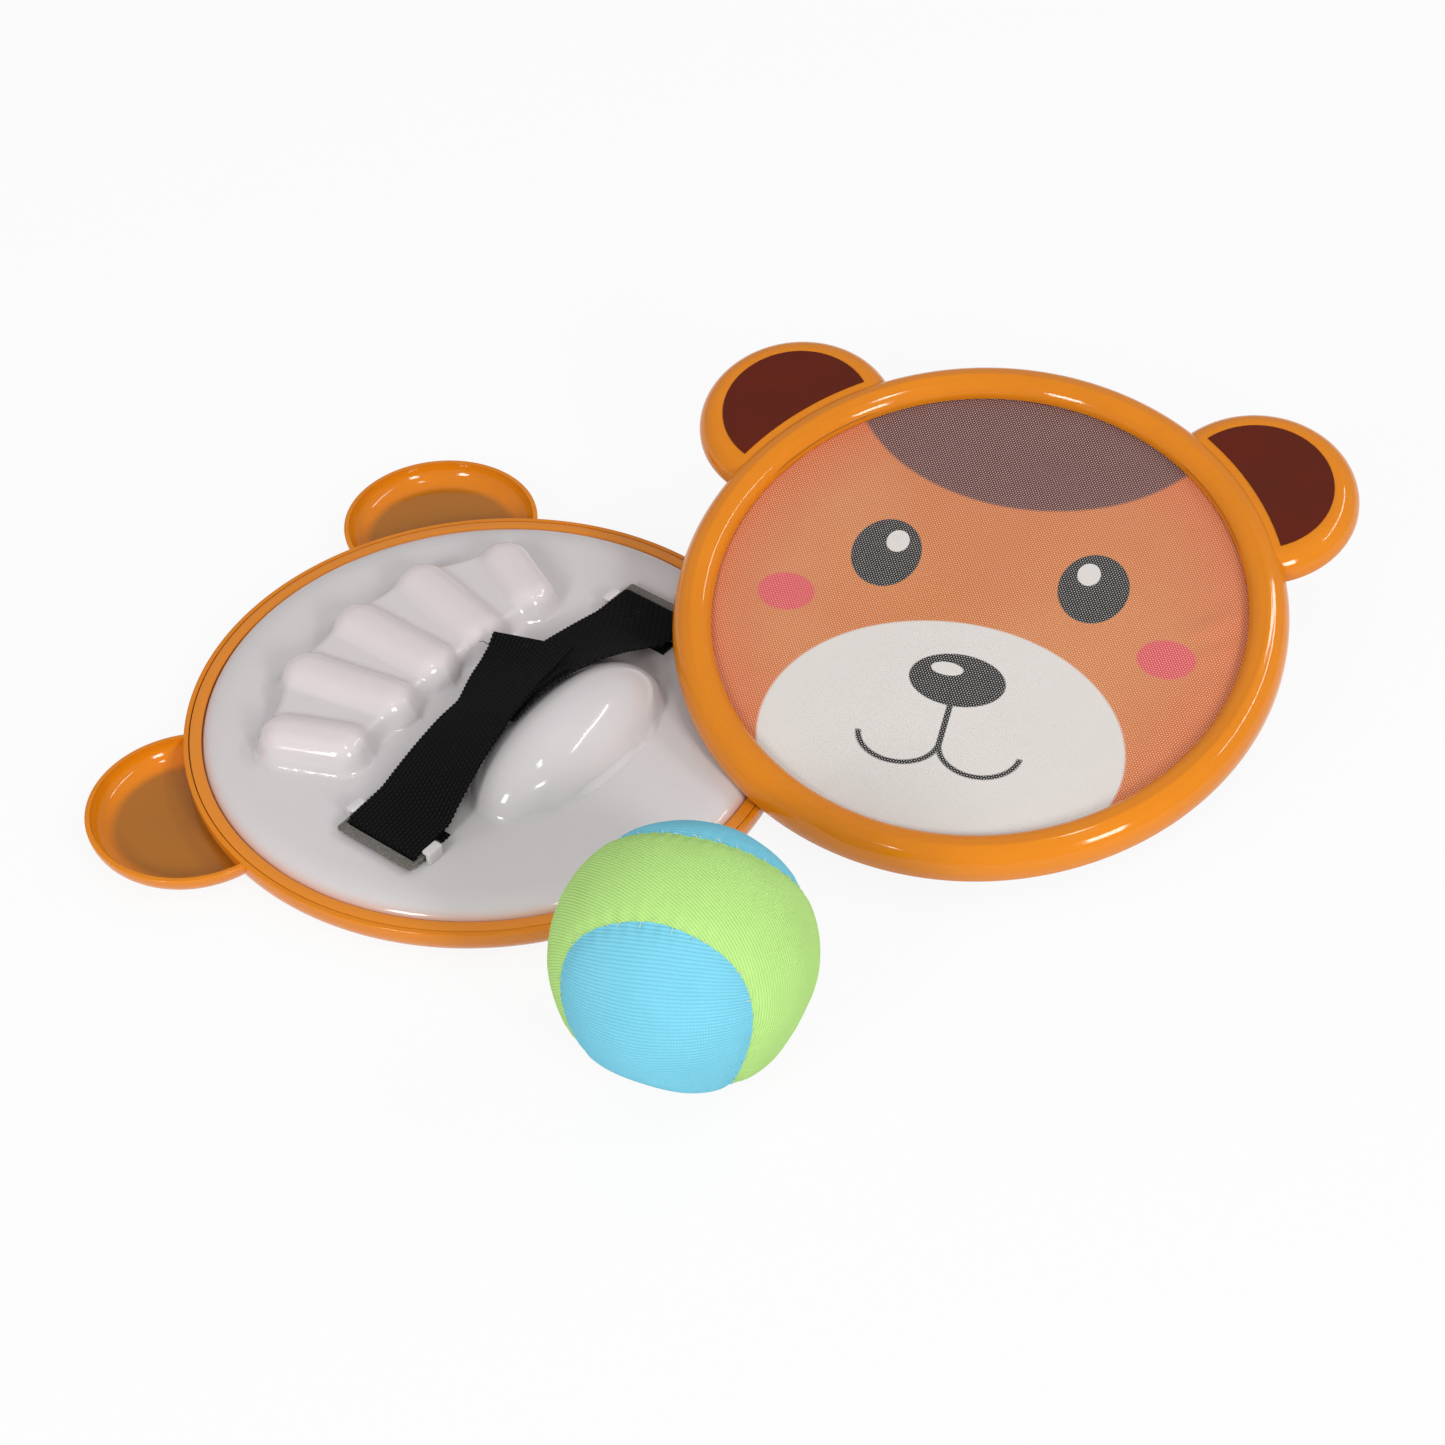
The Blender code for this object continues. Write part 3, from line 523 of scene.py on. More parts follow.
def printed_face(surface, x, y):
    """Plain animal face: ground with hazy clouds, cap, muzzle, cheeks, eyes, nose and mouth."""
    colour = colours()
    side = surface.math("ABSOLUTE", x)
    cloud = surface.span(surface.noise(20.0, 3.0), 0.42, 0.68, 0.0, 0.8)
    face = surface.mix(cloud, colour.ground, tinted(colour.ground, 1.04, 1.22, 1.7))
    outer = surface.span(surface.math("SQRT", x**2.0 + y**2.0), 62.0, 84.0, 0.0, 0.8)
    face = surface.mix(outer, face, tinted(colour.ground, 1.02, 0.72, 0.62))
    face = surface.mix(oval(surface, x, y, (0.0, 92.0), (62.0, 52.0), 0.02), face, colour.cap)
    face = surface.mix(oval(surface, x, y, (0.0, -50.0), (56.0, 44.0), 0.015), face, colour.muzzle)
    face = surface.mix(oval(surface, side, y, (60.0, -6.0), (9.0, 7.0), 0.06), face, colour.cheek)
    eye = oval(surface, side, y, (33.0, 15.0), (11.0, 13.0))
    nose = oval(surface, x, y, (0.0, -27.0), (15.0, 9.5))
    bridge = surface.span(y, -52.0, -51.4) * surface.span(y, -30.0, -30.6) * surface.span(side, 1.1, 0.8)
    mouth_centre = (12.5, -50.0)
    bow = oval(surface, side, y, mouth_centre, (13.4, 10.4), 0.05)
    bow = bow - oval(surface, side, y, mouth_centre, (11.6, 8.8), 0.05)
    smile = bow * surface.span(y, -50.5, -51.0)
    face = surface.mix(surface.most(eye, nose, bridge, smile), face, colour.ink)
    eye_shine = oval(surface, side, y, (30.5, 20.0), (3.6, 4.2), 0.06)
    nose_shine = oval(surface, x, y, (-4.0, -23.5), (5.0, 2.4), 0.08)
    return surface.mix(surface.most(eye_shine, nose_shine), face, colour.muzzle)


def printed_net():
    """Fine knitted net with a print, and white dots where its holes are."""
    surface = Surface("printed_net", 0.45, 0.3)
    x, y = surface.flat()
    dots = net_holes(surface, x, y, sizes().net_pitch * 1000.0)
    base = surface.mix(dots * 0.80, printed_face(surface, x, y), colours().muzzle)
    surface.set("Base Color", base)
    crumple = surface.bump(surface.noise(34.0), 0.0022, 0.35)
    surface.set("Normal", surface.bump(dots, -0.00012, 0.6, crumple))
    surface.set("Roughness", surface.span(surface.noise(24.0), 0.35, 0.65, 0.36, 0.55))
    return surface.material


def white_backing():
    """Plain white sheet behind the net."""
    surface = Surface("white_backing", 0.5)
    cloud = surface.noise(45.0, 3.0)
    surface.set("Base Color", surface.mix(cloud, (0.66, 0.64, 0.62), (0.74, 0.72, 0.70)))
    surface.set("Normal", surface.bump(surface.noise(400.0), 0.0001, 0.3))
    return surface.material


def webbing(name, across_pitch, along_pitch, relief):
    """Black woven tape: yarns over and under each other, painted lighter on their raised knuckles and darker
    between them as painted highlight and shade, with dust.
    """
    black = colours().webbing
    surface = Surface(name, 0.86, 0.10)
    x, y = surface.flat()
    u = x / across_pitch
    knuckle = surface.wave(y / along_pitch + surface.math("FLOOR", u) * 0.5)
    height = surface.wave(u) * (knuckle * 0.65 + 0.35) + surface.noise(2600.0) * 0.25
    # Painted highlight on the raised yarns and painted shade between them: the colour follows the weave's
    # height
    base = surface.mix(surface.span(height, 0.30, 1.15), tinted(black, 0.2), tinted(black, 3.4))
    dust = surface.span(surface.noise(260.0, 4.0), 0.66, 0.8, 0.0, 0.4)
    surface.set("Base Color", surface.mix(dust, base, (0.022, 0.024, 0.02)))
    surface.set("Normal", surface.bump(height, relief))
    return surface.material


def grey_loop():
    """Speckled grey of the flat loops."""
    grey = colours().loop
    surface = Surface("grey_loop", 0.45)
    speckle = surface.noise(1900.0, 3.0, 0.8)
    base = surface.mix(surface.span(speckle, 0.38, 0.60), tinted(grey, 0.5), grey)
    base = surface.mix(surface.span(speckle, 0.58, 0.70, 0.0, 0.85), base, tinted(grey, 1.9))
    surface.set("Base Color", base)
    surface.set("Metallic", 0.3)
    surface.set("Normal", surface.bump(speckle, 0.00008, 0.5))
    return surface.material


def knit(name, main, pitch, turn):
    """Ribbed stretch knit: rounded ribs with a fine stitch on them, painted shade in the grooves between the
    ribs, and a soft nap.
    """
    surface = Surface(name, 0.9, 0.25)
    x, y = surface.flat()
    along = x * math.cos(turn) + y * math.sin(turn)
    across = y * math.cos(turn) - x * math.sin(turn)
    rib = surface.wave((across + (surface.noise(60.0) - 0.5) * 0.9) / pitch)
    stitch = surface.wave(along / (pitch * 0.7))
    height = rib + stitch * 0.2 + surface.noise(2400.0, 3.0, 0.7) * 0.35
    # Painted shade between the ribs: the colour darkens where the knit's height is low
    base = surface.mix(surface.span(height, 0.15, 1.1), tinted(main, 0.80), main)
    patchy = surface.span(surface.noise(70.0, 4.0, 0.6), 0.35, 0.7, 0.0, 0.16)
    pale = [min(1.0, channel * 1.15 + 0.04) for channel in main]
    surface.set("Base Color", surface.mix(patchy, base, pale))
    surface.set("Normal", surface.bump(height, 0.00022, 0.75))
    surface.set("Sheen Weight", 0.25)
    surface.set("Sheen Roughness", 0.45)
    surface.set("Sheen Tint", pale)
    return surface.material


def thread(name, colour):
    """Twisted sewing thread."""
    surface = Surface(name, 0.7, 0.3)
    twist = surface.noise(3000.0, 1.0)
    surface.set("Base Color", surface.mix(twist, tinted(colour, 0.8), colour))
    surface.set("Normal", surface.bump(twist, 0.00005, 0.6))
    return surface.material


def foam():
    """Pale open-pored filling."""
    surface = Surface("foam", 0.95, 0.2)
    pores = surface.noise(900.0, 4.0, 0.7)
    surface.set("Base Color", surface.mix(pores, (0.62, 0.60, 0.52), (0.84, 0.82, 0.74)))
    surface.set("Normal", surface.bump(pores, 0.0003, 0.7))
    return surface.material


# Shapes


def clamped(value):
    return max(0.0, min(1.0, value))


def bell(distance, width):
    return math.exp(-((distance / width) ** 2))


def smoothed(share):
    return share * share * (3.0 - 2.0 * share)


def arc(centre, half_width, half_height, start, end, steps=ARC_STEPS):
    """Points of an oval's outline from one angle to another, in degrees."""
    points = []
    for index in range(steps + 1):
        angle = math.radians(start + (end - start) * index / steps)
        x = centre[0] + half_width * math.cos(angle)
        z = centre[1] + half_height * math.sin(angle)
        points.append((x, z))
    return points


def lathe(profile, steps, closed=False):
    """Turns a profile of (radius, z) points about the z axis."""
    bm = bmesh.new()
    verts = [bm.verts.new((radius, 0.0, z)) for radius, z in profile]
    edges = [bm.edges.new(pair) for pair in zip(verts, verts[1:])]
    if closed:
        edges.append(bm.edges.new((verts[-1], verts[0])))
    turn = {"cent": (0, 0, 0), "axis": (0, 0, 1), "angle": 2 * math.pi, "steps": steps}
    bmesh.ops.spin(bm, geom=verts + edges, use_merge=True, **turn)
    bmesh.ops.remove_doubles(bm, verts=bm.verts[:], dist=1e-6)
    return bm


def write_flat(bm, of_loop=None):
    """Stores two of the piece's own coordinates as a UV map."""
    layer = bm.loops.layers.uv.get(FLAT_MAP) or bm.loops.layers.uv.new(FLAT_MAP)
    scale = 1000.0 / FLAT_UNIT
    for face in bm.faces:
        for loop in face.loops:
            x, y = of_loop(loop) if of_loop else loop.vert.co.xy
            loop[layer].uv = (x * scale, y * scale)


def write_value(bm, name, of_vert):
    """Stores a number for each place of the piece, for its material."""
    layer = bm.verts.layers.float.get(name) or bm.verts.layers.float.new(name)
    for vert in bm.verts:
        vert[layer] = of_vert(vert.co)


def bevelled(bm, edges, offset, segments=2):
    kind = {"affect": "EDGES", "profile": 0.5, "material": -1}
    bmesh.ops.bevel(bm, geom=edges, offset=offset, segments=segments, **kind)


def sharp_edges(bm):
    return [edge for edge in bm.edges if edge.calc_face_angle(0.0) > 1.0]


def outward(bm, is_right):
    """Makes the normals agree, and turns them all where a test of them says so."""
    bmesh.ops.recalc_face_normals(bm, faces=bm.faces[:])
    if not is_right():
        bmesh.ops.reverse_faces(bm, faces=bm.faces[:])


def mesh_of(bm, name, sharp=38.0):
    """Finished smooth-shaded mesh; edges that turn by more than the sharp angle stay sharp."""
    bmesh.ops.recalc_face_normals(bm, faces=bm.faces[:])
    mesh = bpy.data.meshes.new(name)
    bm.to_mesh(mesh)
    bm.free()
    mesh.shade_smooth()
    mesh.set_sharp_from_angle(angle=math.radians(sharp))
    return mesh


def add_object(name, data):
    made = bpy.data.objects.new(name, data)
    bpy.context.scene.collection.objects.link(made)
    return made


def joined_and_cut(base, joins=(), cuts=()):
    """Joins bmeshes to a base and cuts others out of it; gives back a new bmesh."""
    target = add_object("target", mesh_of(base, "target"))
    tools = []
    for operation, bodies in (("UNION", joins), ("DIFFERENCE", cuts)):
        for body in bodies:
            tools.append(add_object("tool", mesh_of(body, "tool")))
            modifier = target.modifiers.new(operation.lower(), "BOOLEAN")
            modifier.operation = operation
            modifier.solver = "EXACT"
            modifier.object = tools[-1]
    graph = bpy.context.evaluated_depsgraph_get()
    result = bmesh.new()
    evaluated = target.evaluated_get(graph)
    result.from_mesh(evaluated.to_mesh())
    evaluated.to_mesh_clear()
    for obj in [target, *tools]:
        mesh = obj.data
        bpy.data.objects.remove(obj, do_unlink=True)
        bpy.data.meshes.remove(mesh)
    bmesh.ops.remove_doubles(result, verts=result.verts[:], dist=2e-6)
    return result


def add_piece(name, mesh, material, node=None):
    """Puts a finished mesh in the scene, in place of a CAD node where it stands for one."""
    piece = add_object(name, mesh)
    mesh.materials.append(material)
    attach(piece, "root")
    if node:
        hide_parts(node)
    return piece


def paddle_matrix(prefix):
    """From a paddle's own frame to the set's."""
    low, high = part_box(prefix + "_clamp_ring")
    z_axis = Vector(FACE_DIRECTION[prefix]).normalized()
    level = Vector((math.cos(HEADING[prefix]), math.sin(HEADING[prefix]), 0.0))
    y_axis = (level - z_axis * level.dot(z_axis)).normalized()
    x_axis = y_axis.cross(z_axis)
    rotation = Matrix((x_axis, y_axis, z_axis)).transposed()
    centre = (Vector(low) + Vector(high)) / 2 - z_axis * CLAMP_THICKNESS / 2
    return Matrix.Translation(centre) @ rotation.to_4x4()


def grip_matrix(prefix):
    """From the grip frame to the set's."""
    turn = Matrix.Rotation(GRIP_TURN, 4, "Z")
    return paddle_matrix(prefix) @ turn @ Matrix.Diagonal((1, 1, -1, 1))


def add_to_paddles(name, bm, material, matrix_of=paddle_matrix, sharp=38.0):
    """Adds a copy of a piece to each paddle, under the name of the node that it replaces."""
    pieces = []
    for prefix in ("left", "right"):
        copy = bm.copy()
        bmesh.ops.transform(copy, matrix=matrix_of(prefix), verts=copy.verts[:])
        node = f"{prefix}_{name}"
        pieces.append(add_piece(node + "_dressed", mesh_of(copy, node, sharp), material, node))
    bm.free()
    return pieces


def ring_profile():
    """Section of the ring: skirt, rounded face, lip, and the cored space behind the face."""
    size = sizes()
    radius, height = size.ring_radius, size.ring_height
    opening = radius - size.ring_band
    crest = radius - CREST_INSET
    lip_top = LEDGE + LIP_HEIGHT
    outer = arc((crest, RING_WALL_HEIGHT), CREST_INSET, height - RING_WALL_HEIGHT, 0, 90, 30)
    inner = arc((crest, lip_top), crest - opening, height - lip_top, 90, 180, 24)
    skirt = radius - SKIRT_WALL
    core_in = opening + CORE_WALL
    core_out = skirt - CORE_WALL + SKIRT_WALL / 2
    core_top = height - CORE_WALL
    for points in (outer, inner):
        for index, (x, z) in enumerate(points):
            points[index] = (x, z - CREST_BEAD * (1.0 - bell(x - crest, CREST_BEAD_WIDTH)))
    curve = SKIRT_BEVEL / 2
    round_foot = arc((radius - curve, curve), curve, curve, -90, 0, 4)
    return [
        (skirt, 0.0),
        *round_foot,
        *outer,
        *inner[1:],
        (opening, LEDGE),
        (core_in, LEDGE),
        (core_in + CORE_WALL / 2, core_top - CORE_WALL / 2),
        (crest, core_top),
        (core_out, LEDGE),
        (skirt, LEDGE),
    ]


def ear_profile():
    """Section of an ear cup: flat top, rounded wall, rounded rim, open at the back."""
    size = sizes()
    height = size.ear_height
    reach = size.ear_radius - EAR_FLAT_RADIUS
    drop = height - EAR_RIM_HEIGHT
    centre = (EAR_FLAT_RADIUS, EAR_RIM_HEIGHT)
    outer = arc(centre, reach, drop, 90, 0)
    inner = arc(centre, reach - EAR_WALL, drop - EAR_WALL, 0, 90)
    curve = EAR_RIM_ROUND
    rim = arc((size.ear_radius - curve, curve), curve, curve, 0, -90, 3)
    floor = height - EAR_WALL
    return [
        (0.0, height),
        *outer,
        *rim,
        (size.ear_radius - EAR_WALL, 0.0),
        *inner,
        (EAR_PATCH_RADIUS - EAR_FLOOR_INSET, floor),
        (0.0, floor),
    ]


def ear_centre(side):
    """Axis of an ear in the paddle's frame; side is 1 or -1."""
    size = sizes()
    direction = Vector((side * math.sin(size.ear_angle), math.cos(size.ear_angle), 0.0))
    return direction * size.ear_distance


def ring_room():
    """What lies inside the ring, cut off the ears so that they end in its walls."""
    size = sizes()
    wall_middle = size.ring_radius - SKIRT_WALL / 2
    shell_middle = size.ring_radius - SKIRT_WALL - CORE_WALL / 2
    step = LEDGE + GAP
    profile = [
        (0.0, -size.ring_height),
        (wall_middle, -size.ring_height),
        (wall_middle, step),
        (shell_middle, step),
        (shell_middle, 2 * size.ring_height),
        (0.0, 2 * size.ring_height),
    ]
    return lathe(profile, RING_STEPS)


def frame_shape():
    """Ring and ear cups, moulded in one piece."""
    size = sizes()
    ears = []
    for side in (-1, 1):
        bm = lathe(ear_profile(), EAR_STEPS)
        bmesh.ops.translate(bm, verts=bm.verts[:], vec=ear_centre(side))
        ears.append(joined_and_cut(bm, cuts=[ring_room()]))
    bm = joined_and_cut(lathe(ring_profile(), RING_STEPS, True), joins=ears)
    floor = size.ear_height - EAR_WALL

    def thin(place):
        if abs(place.z - floor) > EAR_WALL / 4:
            return 0.0
        near = min((place - ear_centre(side)).xy.length for side in (-1, 1))
        return THIN_SHARE * clamped((EAR_FLAT_RADIUS - near) / THIN_REACH + 0.5)

    write_value(bm, "thin", thin)
    return bm


def clamp_shape():
    """Thin ring over the tray's flange, with rounded edges."""
    size = sizes()
    outer = size.ring_radius - SKIRT_WALL - GAP
    inner = outer - CLAMP_BAND
    profile = [(inner, 0.0), (outer, 0.0), (outer, CLAMP_THICKNESS), (inner, CLAMP_THICKNESS)]
    bm = lathe(profile, RING_STEPS, True)
    bevelled(bm, sharp_edges(bm), CLAMP_BEVEL)
    return bm


def patch_shape(side):
    """Printed plate on an ear's top: the ear's circle less the ring's."""
    size = sizes()
    bottom = size.ear_height - GAP / 3
    top = size.ear_height + GAP
    profile = [(0.0, bottom), (EAR_PATCH_RADIUS, bottom), (EAR_PATCH_RADIUS, top), (0.0, top)]
    bm = lathe(profile, EAR_STEPS)
    bmesh.ops.translate(bm, verts=bm.verts[:], vec=ear_centre(side))
    edge = size.ring_radius + GAP / 3
    ring = [(0.0, -edge), (edge, -edge), (edge, edge), (0.0, edge)]
    return joined_and_cut(bm, cuts=[lathe(ring, RING_STEPS)])


def net_slack(place, opening):
    """Height of the net's slow waves and of the folds that run inwards from the ring."""
    height = NET_WAVE * noise.noise(place * 30.0)
    for first, second, depth, width in NET_FOLDS:
        start, way = Vector(first), Vector(second) - Vector(first)
        share = clamped((place.xy - start).dot(way) / way.length_squared)
        away = (place.xy - start - way * share).length
        height += depth * math.sin(math.pi * (0.15 + 0.85 * share)) * bell(away, width)
    return height * max(0.0, 1.0 - (place.xy.length / opening) ** 12)


def disc_radius():
    return sizes().ring_radius - SKIRT_WALL - 2 * GAP


def disc_shape(bottom, rings, steps, has_folds):
    """Thin round sheet held in the ring."""
    size = sizes()
    radius = disc_radius()
    top = [(radius * index / rings, bottom + SHEET_THICKNESS) for index in range(rings + 1)]
    under = [(radius * (1 - index / rings), bottom) for index in range(rings + 1)]
    bm = lathe(top + under, steps)
    if has_folds:
        for vert in bm.verts:
            vert.co.z += net_slack(vert.co, size.ring_radius - size.ring_band)
    write_flat(bm)
    return bm


# Tray


def smooth_max(first, second, reach):
    """Greater of two heights, rounded where they are less than the reach apart."""
    gap = max(reach - abs(first - second), 0.0)
    return max(first, second) + gap * gap / (4.0 * reach)


def tray_edge():
    return sizes().ring_radius - SKIRT_WALL - GAP - CLAMP_BAND - GAP


def back_rise(radius):
    """Height of the tray over the paddle's back edge, without ridges and hump."""
    edge = tray_edge()
    if radius >= edge:
        return 0.0
    depth = CLAMP_THICKNESS / 2
    share = min(1.0, (edge - radius) / TRAY_EDGE_WIDTH)
    round_share = math.sqrt(1.0 - (1.0 - share) ** 2)
    return (sizes().tray_rise + depth) * round_share - depth


def dome(spread, full, sunk, squareness=2.0):
    """Height of a rounded form that is cut off below its middle, at a spread from 0 to 1."""
    if spread >= 1.0:
        return -sunk - (spread - 1.0) * full
    return (full + sunk) * (1.0 - spread**squareness) ** (1.0 / squareness) - sunk


def ridge_angle(place):
    """Direction of a place in the fan, where each whole number is a ridge."""
    steps = abs(place)
    angle = min(steps, 1.0) * RIDGE_STEP + max(steps - 1.0, 0.0) * OUTER_RIDGE_STEP
    return math.copysign(angle, place)


def ridge_place(angle):
    """Place in the fan of a direction, the other way round."""
    size = abs(angle)
    place = min(size / RIDGE_STEP, 1.0) + max(size - RIDGE_STEP, 0.0) / OUTER_RIDGE_STEP
    return math.copysign(place, angle)


def ridge_relief(x, y):
    """Height of the finger ridges and of the raised floor between them."""
    size = sizes()
    fan_y = RIDGE_FAN_TOP - RIDGE_FAN_RADIUS
    reach = math.hypot(x, y - fan_y)
    angle = math.atan2(x, y - fan_y)
    best = -1.0
    for index in RIDGE_INDICES:
        turn = ridge_angle(index)
        along = reach * math.cos(angle - turn) - RIDGE_FAN_RADIUS
        across = reach * math.sin(angle - turn)
        length = OUTER_RIDGE_LENGTH if abs(index) == 2 else RIDGE_LENGTH
        over = max(abs(along) - (length / 2 - RIDGE_HALF_WIDTH), 0.0)
        spread = math.hypot(across, over) / RIDGE_HALF_WIDTH
        best = max(best, dome(spread, size.ridge_height, RIDGE_SUNK, RIDGE_SQUARENESS))
    place = ridge_place(angle)
    if abs(place) >= 2.0:
        return smooth_max(0.0, best, FOOT_BLEND)
    outer = max(abs(place) - 1.0, 0.0)
    half = (RIDGE_LENGTH * (1.0 - outer) + OUTER_RIDGE_LENGTH * outer) / 2 - VALLEY_END_INSET
    dip = VALLEY_INSET * math.sin(math.pi * (place - math.floor(place)))
    inside = half - dip - abs(reach - RIDGE_FAN_RADIUS)
    floor = VALLEY_HEIGHT * smoothed(clamped(inside / VALLEY_SLOPE + 0.5))
    return smooth_max(floor, best, VALLEY_BLEND)


def hump_relief(x, y):
    """Height of the palm hump."""
    across = abs(x - HUMP_CENTRE[0]) / HUMP_HALF_SIZE[0]
    along = abs(y - HUMP_CENTRE[1]) / HUMP_HALF_SIZE[1]
    spread = (across**HUMP_SQUARENESS + along**HUMP_SQUARENESS) ** (1 / HUMP_SQUARENESS)
    return dome(spread, sizes().hump_height, HUMP_SUNK)


def tray_relief(x, y):
    return smooth_max(ridge_relief(x, y), hump_relief(x, y), FOOT_BLEND)


def tray_shape():
    """Dished shell with finger ridges and palm hump, in the grip frame."""
    edge = tray_edge()
    outer_radius = disc_radius()
    flange_top = -FLANGE_BOTTOM
    flange_under = flange_top - FLANGE_THICKNESS
    top = [(edge * (1.0 - index / TRAY_RINGS), 1.0) for index in range(TRAY_RINGS + 1)]
    inner_edge = edge - TRAY_WALL
    inner = [(inner_edge * index / TRAY_INNER_RINGS, -1.0) for index in range(TRAY_INNER_RINGS + 1)]
    profile = [
        *inner,
        (inner_edge, flange_under),
        (outer_radius, flange_under),
        (outer_radius, flange_top),
        (edge, flange_top),
        *top,
    ]
    bm = lathe(profile, TRAY_STEPS)
    for vert in bm.verts:
        x, y, layer = vert.co
        radius = vert.co.xy.length
        if layer > 0.5:
            vert.co.z = back_rise(radius) + tray_relief(x, y)
        elif layer < -0.5:
            vert.co.z = back_rise(radius * edge / inner_edge) + tray_relief(x, y) - TRAY_WALL
    free = edge - TRAY_CRISP_EDGE
    upper = [vert for vert in bm.verts if vert.co.z > -FLANGE_BOTTOM and vert.co.xy.length < free]
    for _ in range(TRAY_SMOOTHING):
        bmesh.ops.smooth_vert(bm, verts=upper, factor=0.5, use_axis_z=True)

    # Share of painted orange reflection and shade of the ring, rising towards the tray's rim
    def painted_ring_reflection(place):
        return RING_REFLECTION_PAINT * clamped((place.xy.length - edge) / RING_REFLECTION_PAINT_WIDTH + 1.0) ** 2.6

    # Share of painted highlight on the ridge tops, for the material's lighter top colour
    def painted_ridge_highlight(place):
        ridge = ridge_relief(place.x, place.y) / sizes().ridge_height
        return clamped((ridge - 0.55) / 0.35) if place.z > 0.0 else 0.0

    write_value(bm, "edge", painted_ring_reflection)
    write_value(bm, "top", painted_ridge_highlight)
    return bm


def loop_half():
    """Half of a strap loop's width."""
    return sizes().strap_width / 2 + LOOP_SIDE_GAP + LOOP_LEG


def hook_shape(end, side):
    """Moulded hook over one leg of a flat loop, with rounded edges."""
    bm = bmesh.new()
    bmesh.ops.create_cube(bm, size=1.0)
    low = loop_half() + GAP
    foot = sizes().tray_rise - TRAY_WALL / 2
    step = LOOP_TOP + GAP
    roof = step + HOOK_ROOF
    middle = LOOP_BAR_OUTER - LOOP_INNER_BAR / 2
    for vert in bm.verts:
        x = middle + vert.co.x * HOOK_LENGTH
        y = low + HOOK_THICKNESS * (vert.co.y + 0.5)
        z = foot + (roof - foot) * (vert.co.z + 0.5)
        vert.co = Vector((end * x, STRAP_Y + side * y, z))
    every = bm.verts[:] + bm.edges[:] + bm.faces[:]
    bmesh.ops.bisect_plane(bm, geom=every, plane_co=(0, 0, step), plane_no=(0, 0, 1))
    upper = [
        face
        for face in bm.faces
        if all(abs(abs(vert.co.y - STRAP_Y) - low) < 1e-6 for vert in face.verts)
        and face.calc_center_median().z > step
    ]
    made = bmesh.ops.extrude_face_region(bm, geom=upper)["geom"]
    moved = [item for item in made if isinstance(item, bmesh.types.BMVert)]
    bmesh.ops.delete(bm, geom=upper, context="FACES_ONLY")
    bmesh.ops.translate(bm, verts=moved, vec=(0, -side * HOOK_REACH, 0))
    bmesh.ops.recalc_face_normals(bm, faces=bm.faces[:])
    bevelled(bm, sharp_edges(bm), HOOK_BEVEL, 4)
    return bm


# Strap


def lean_share(x):
    """How much of its lean over the palm hump the strap has at a place."""
    return max(0.0, 1.0 - (x / STRAP_LEAN_REACH) ** 2)


def strap_base(x):
    """Height of the under part's lower side at its finger edge."""
    return STRAP_END_BOTTOM + STRAP_RISE * max(0.0, 1.0 - abs(x) / STRAP_FOLD_X)


def over_free(x):
    """How far along its free end a place of the upper part lies."""
    tape_end = UNDER_END_X - PATCH_LENGTH
    return max(0.0, (tape_end - x) / (tape_end - OVER_END_X))


def over_lift(x):
    """How far the upper part lies above the under part's place."""
    if x > UNDER_END_X:
        reach = STRAP_FOLD_X - 2 * STRAP_THICKNESS - UNDER_END_X
        return OVER_STACK * max(0.0, 1.0 - (x - UNDER_END_X) / reach)
    hem = clamped((OVER_END_X + HEM_LENGTH - x) / HEM_STEP)
    return OVER_STACK + OVER_END_RISE * over_free(x) + HEM_THICKNESS * hem


def over_end_share(x):
    """How far past its kink a place of the upper part lies."""
    return max(0.0, (OVER_KINK_X - x) / (OVER_KINK_X - OVER_END_X))


def over_shift(x):
    """How far the upper part's free end swings to the fingers, from the kink on."""
    return OVER_END_SHIFT * over_end_share(x) ** 1.15


def over_twist(x):
    """How much farther and lower the upper part's hump side lies than its finger side."""
    slope = STRAP_LEAN * lean_share(x) / sizes().strap_width
    drop = slope * over_shift(x) + 0.75 * OVER_END_RISE * over_free(x)
    return OVER_END_SLANT * over_end_share(x) ** 2, drop


def over_widening(x):
    """How much wider the webbing is than its own width: pinched at the kink, flared at the end."""
    pinch = bell(x - OVER_KINK_X, OVER_KINK_LENGTH)
    return OVER_END_FLARE * over_end_share(x) - OVER_KINK_PINCH * pinch


def strap_path(inner_x, lift):
    """Middle line of a part: from its free end to the loop, round its bar and back under it."""
    half = STRAP_THICKNESS / 2
    fold = STRAP_FOLD_X - half
    corner = fold - STRAP_THICKNESS
    points = []
    for index in range(PATH_STEPS + 1):
        x = inner_x + (corner - inner_x) * index / PATH_STEPS
        points.append((x, strap_base(x) + lift(x) + half, lean_share(x)))
    top = points[-1][1]
    bottom = RETURN_BOTTOM + half
    middle = (top + bottom) / 2
    for index in range(1, 8):
        angle = math.pi * index / 8
        x = corner + (fold - corner) * math.sin(angle)
        points.append((x, middle + (top - middle) * math.cos(angle), 0.0))
    points.append((corner, bottom, 0.0))
    points.append((corner - RETURN_LENGTH, bottom, 0.0))
    return points


def along_path(path, share):
    """Point at a share of a path's length, and the length up to it."""
    steps = [math.dist(first[:2], second[:2]) for first, second in zip(path, path[1:])]
    target = share * sum(steps)
    index, walked = 0, 0.0
    while walked + steps[index] < target and index < len(steps) - 1:
        walked += steps[index]
        index += 1
    part = clamped((target - walked) / steps[index])
    return Vector(path[index]).lerp(Vector(path[index + 1]), part), target


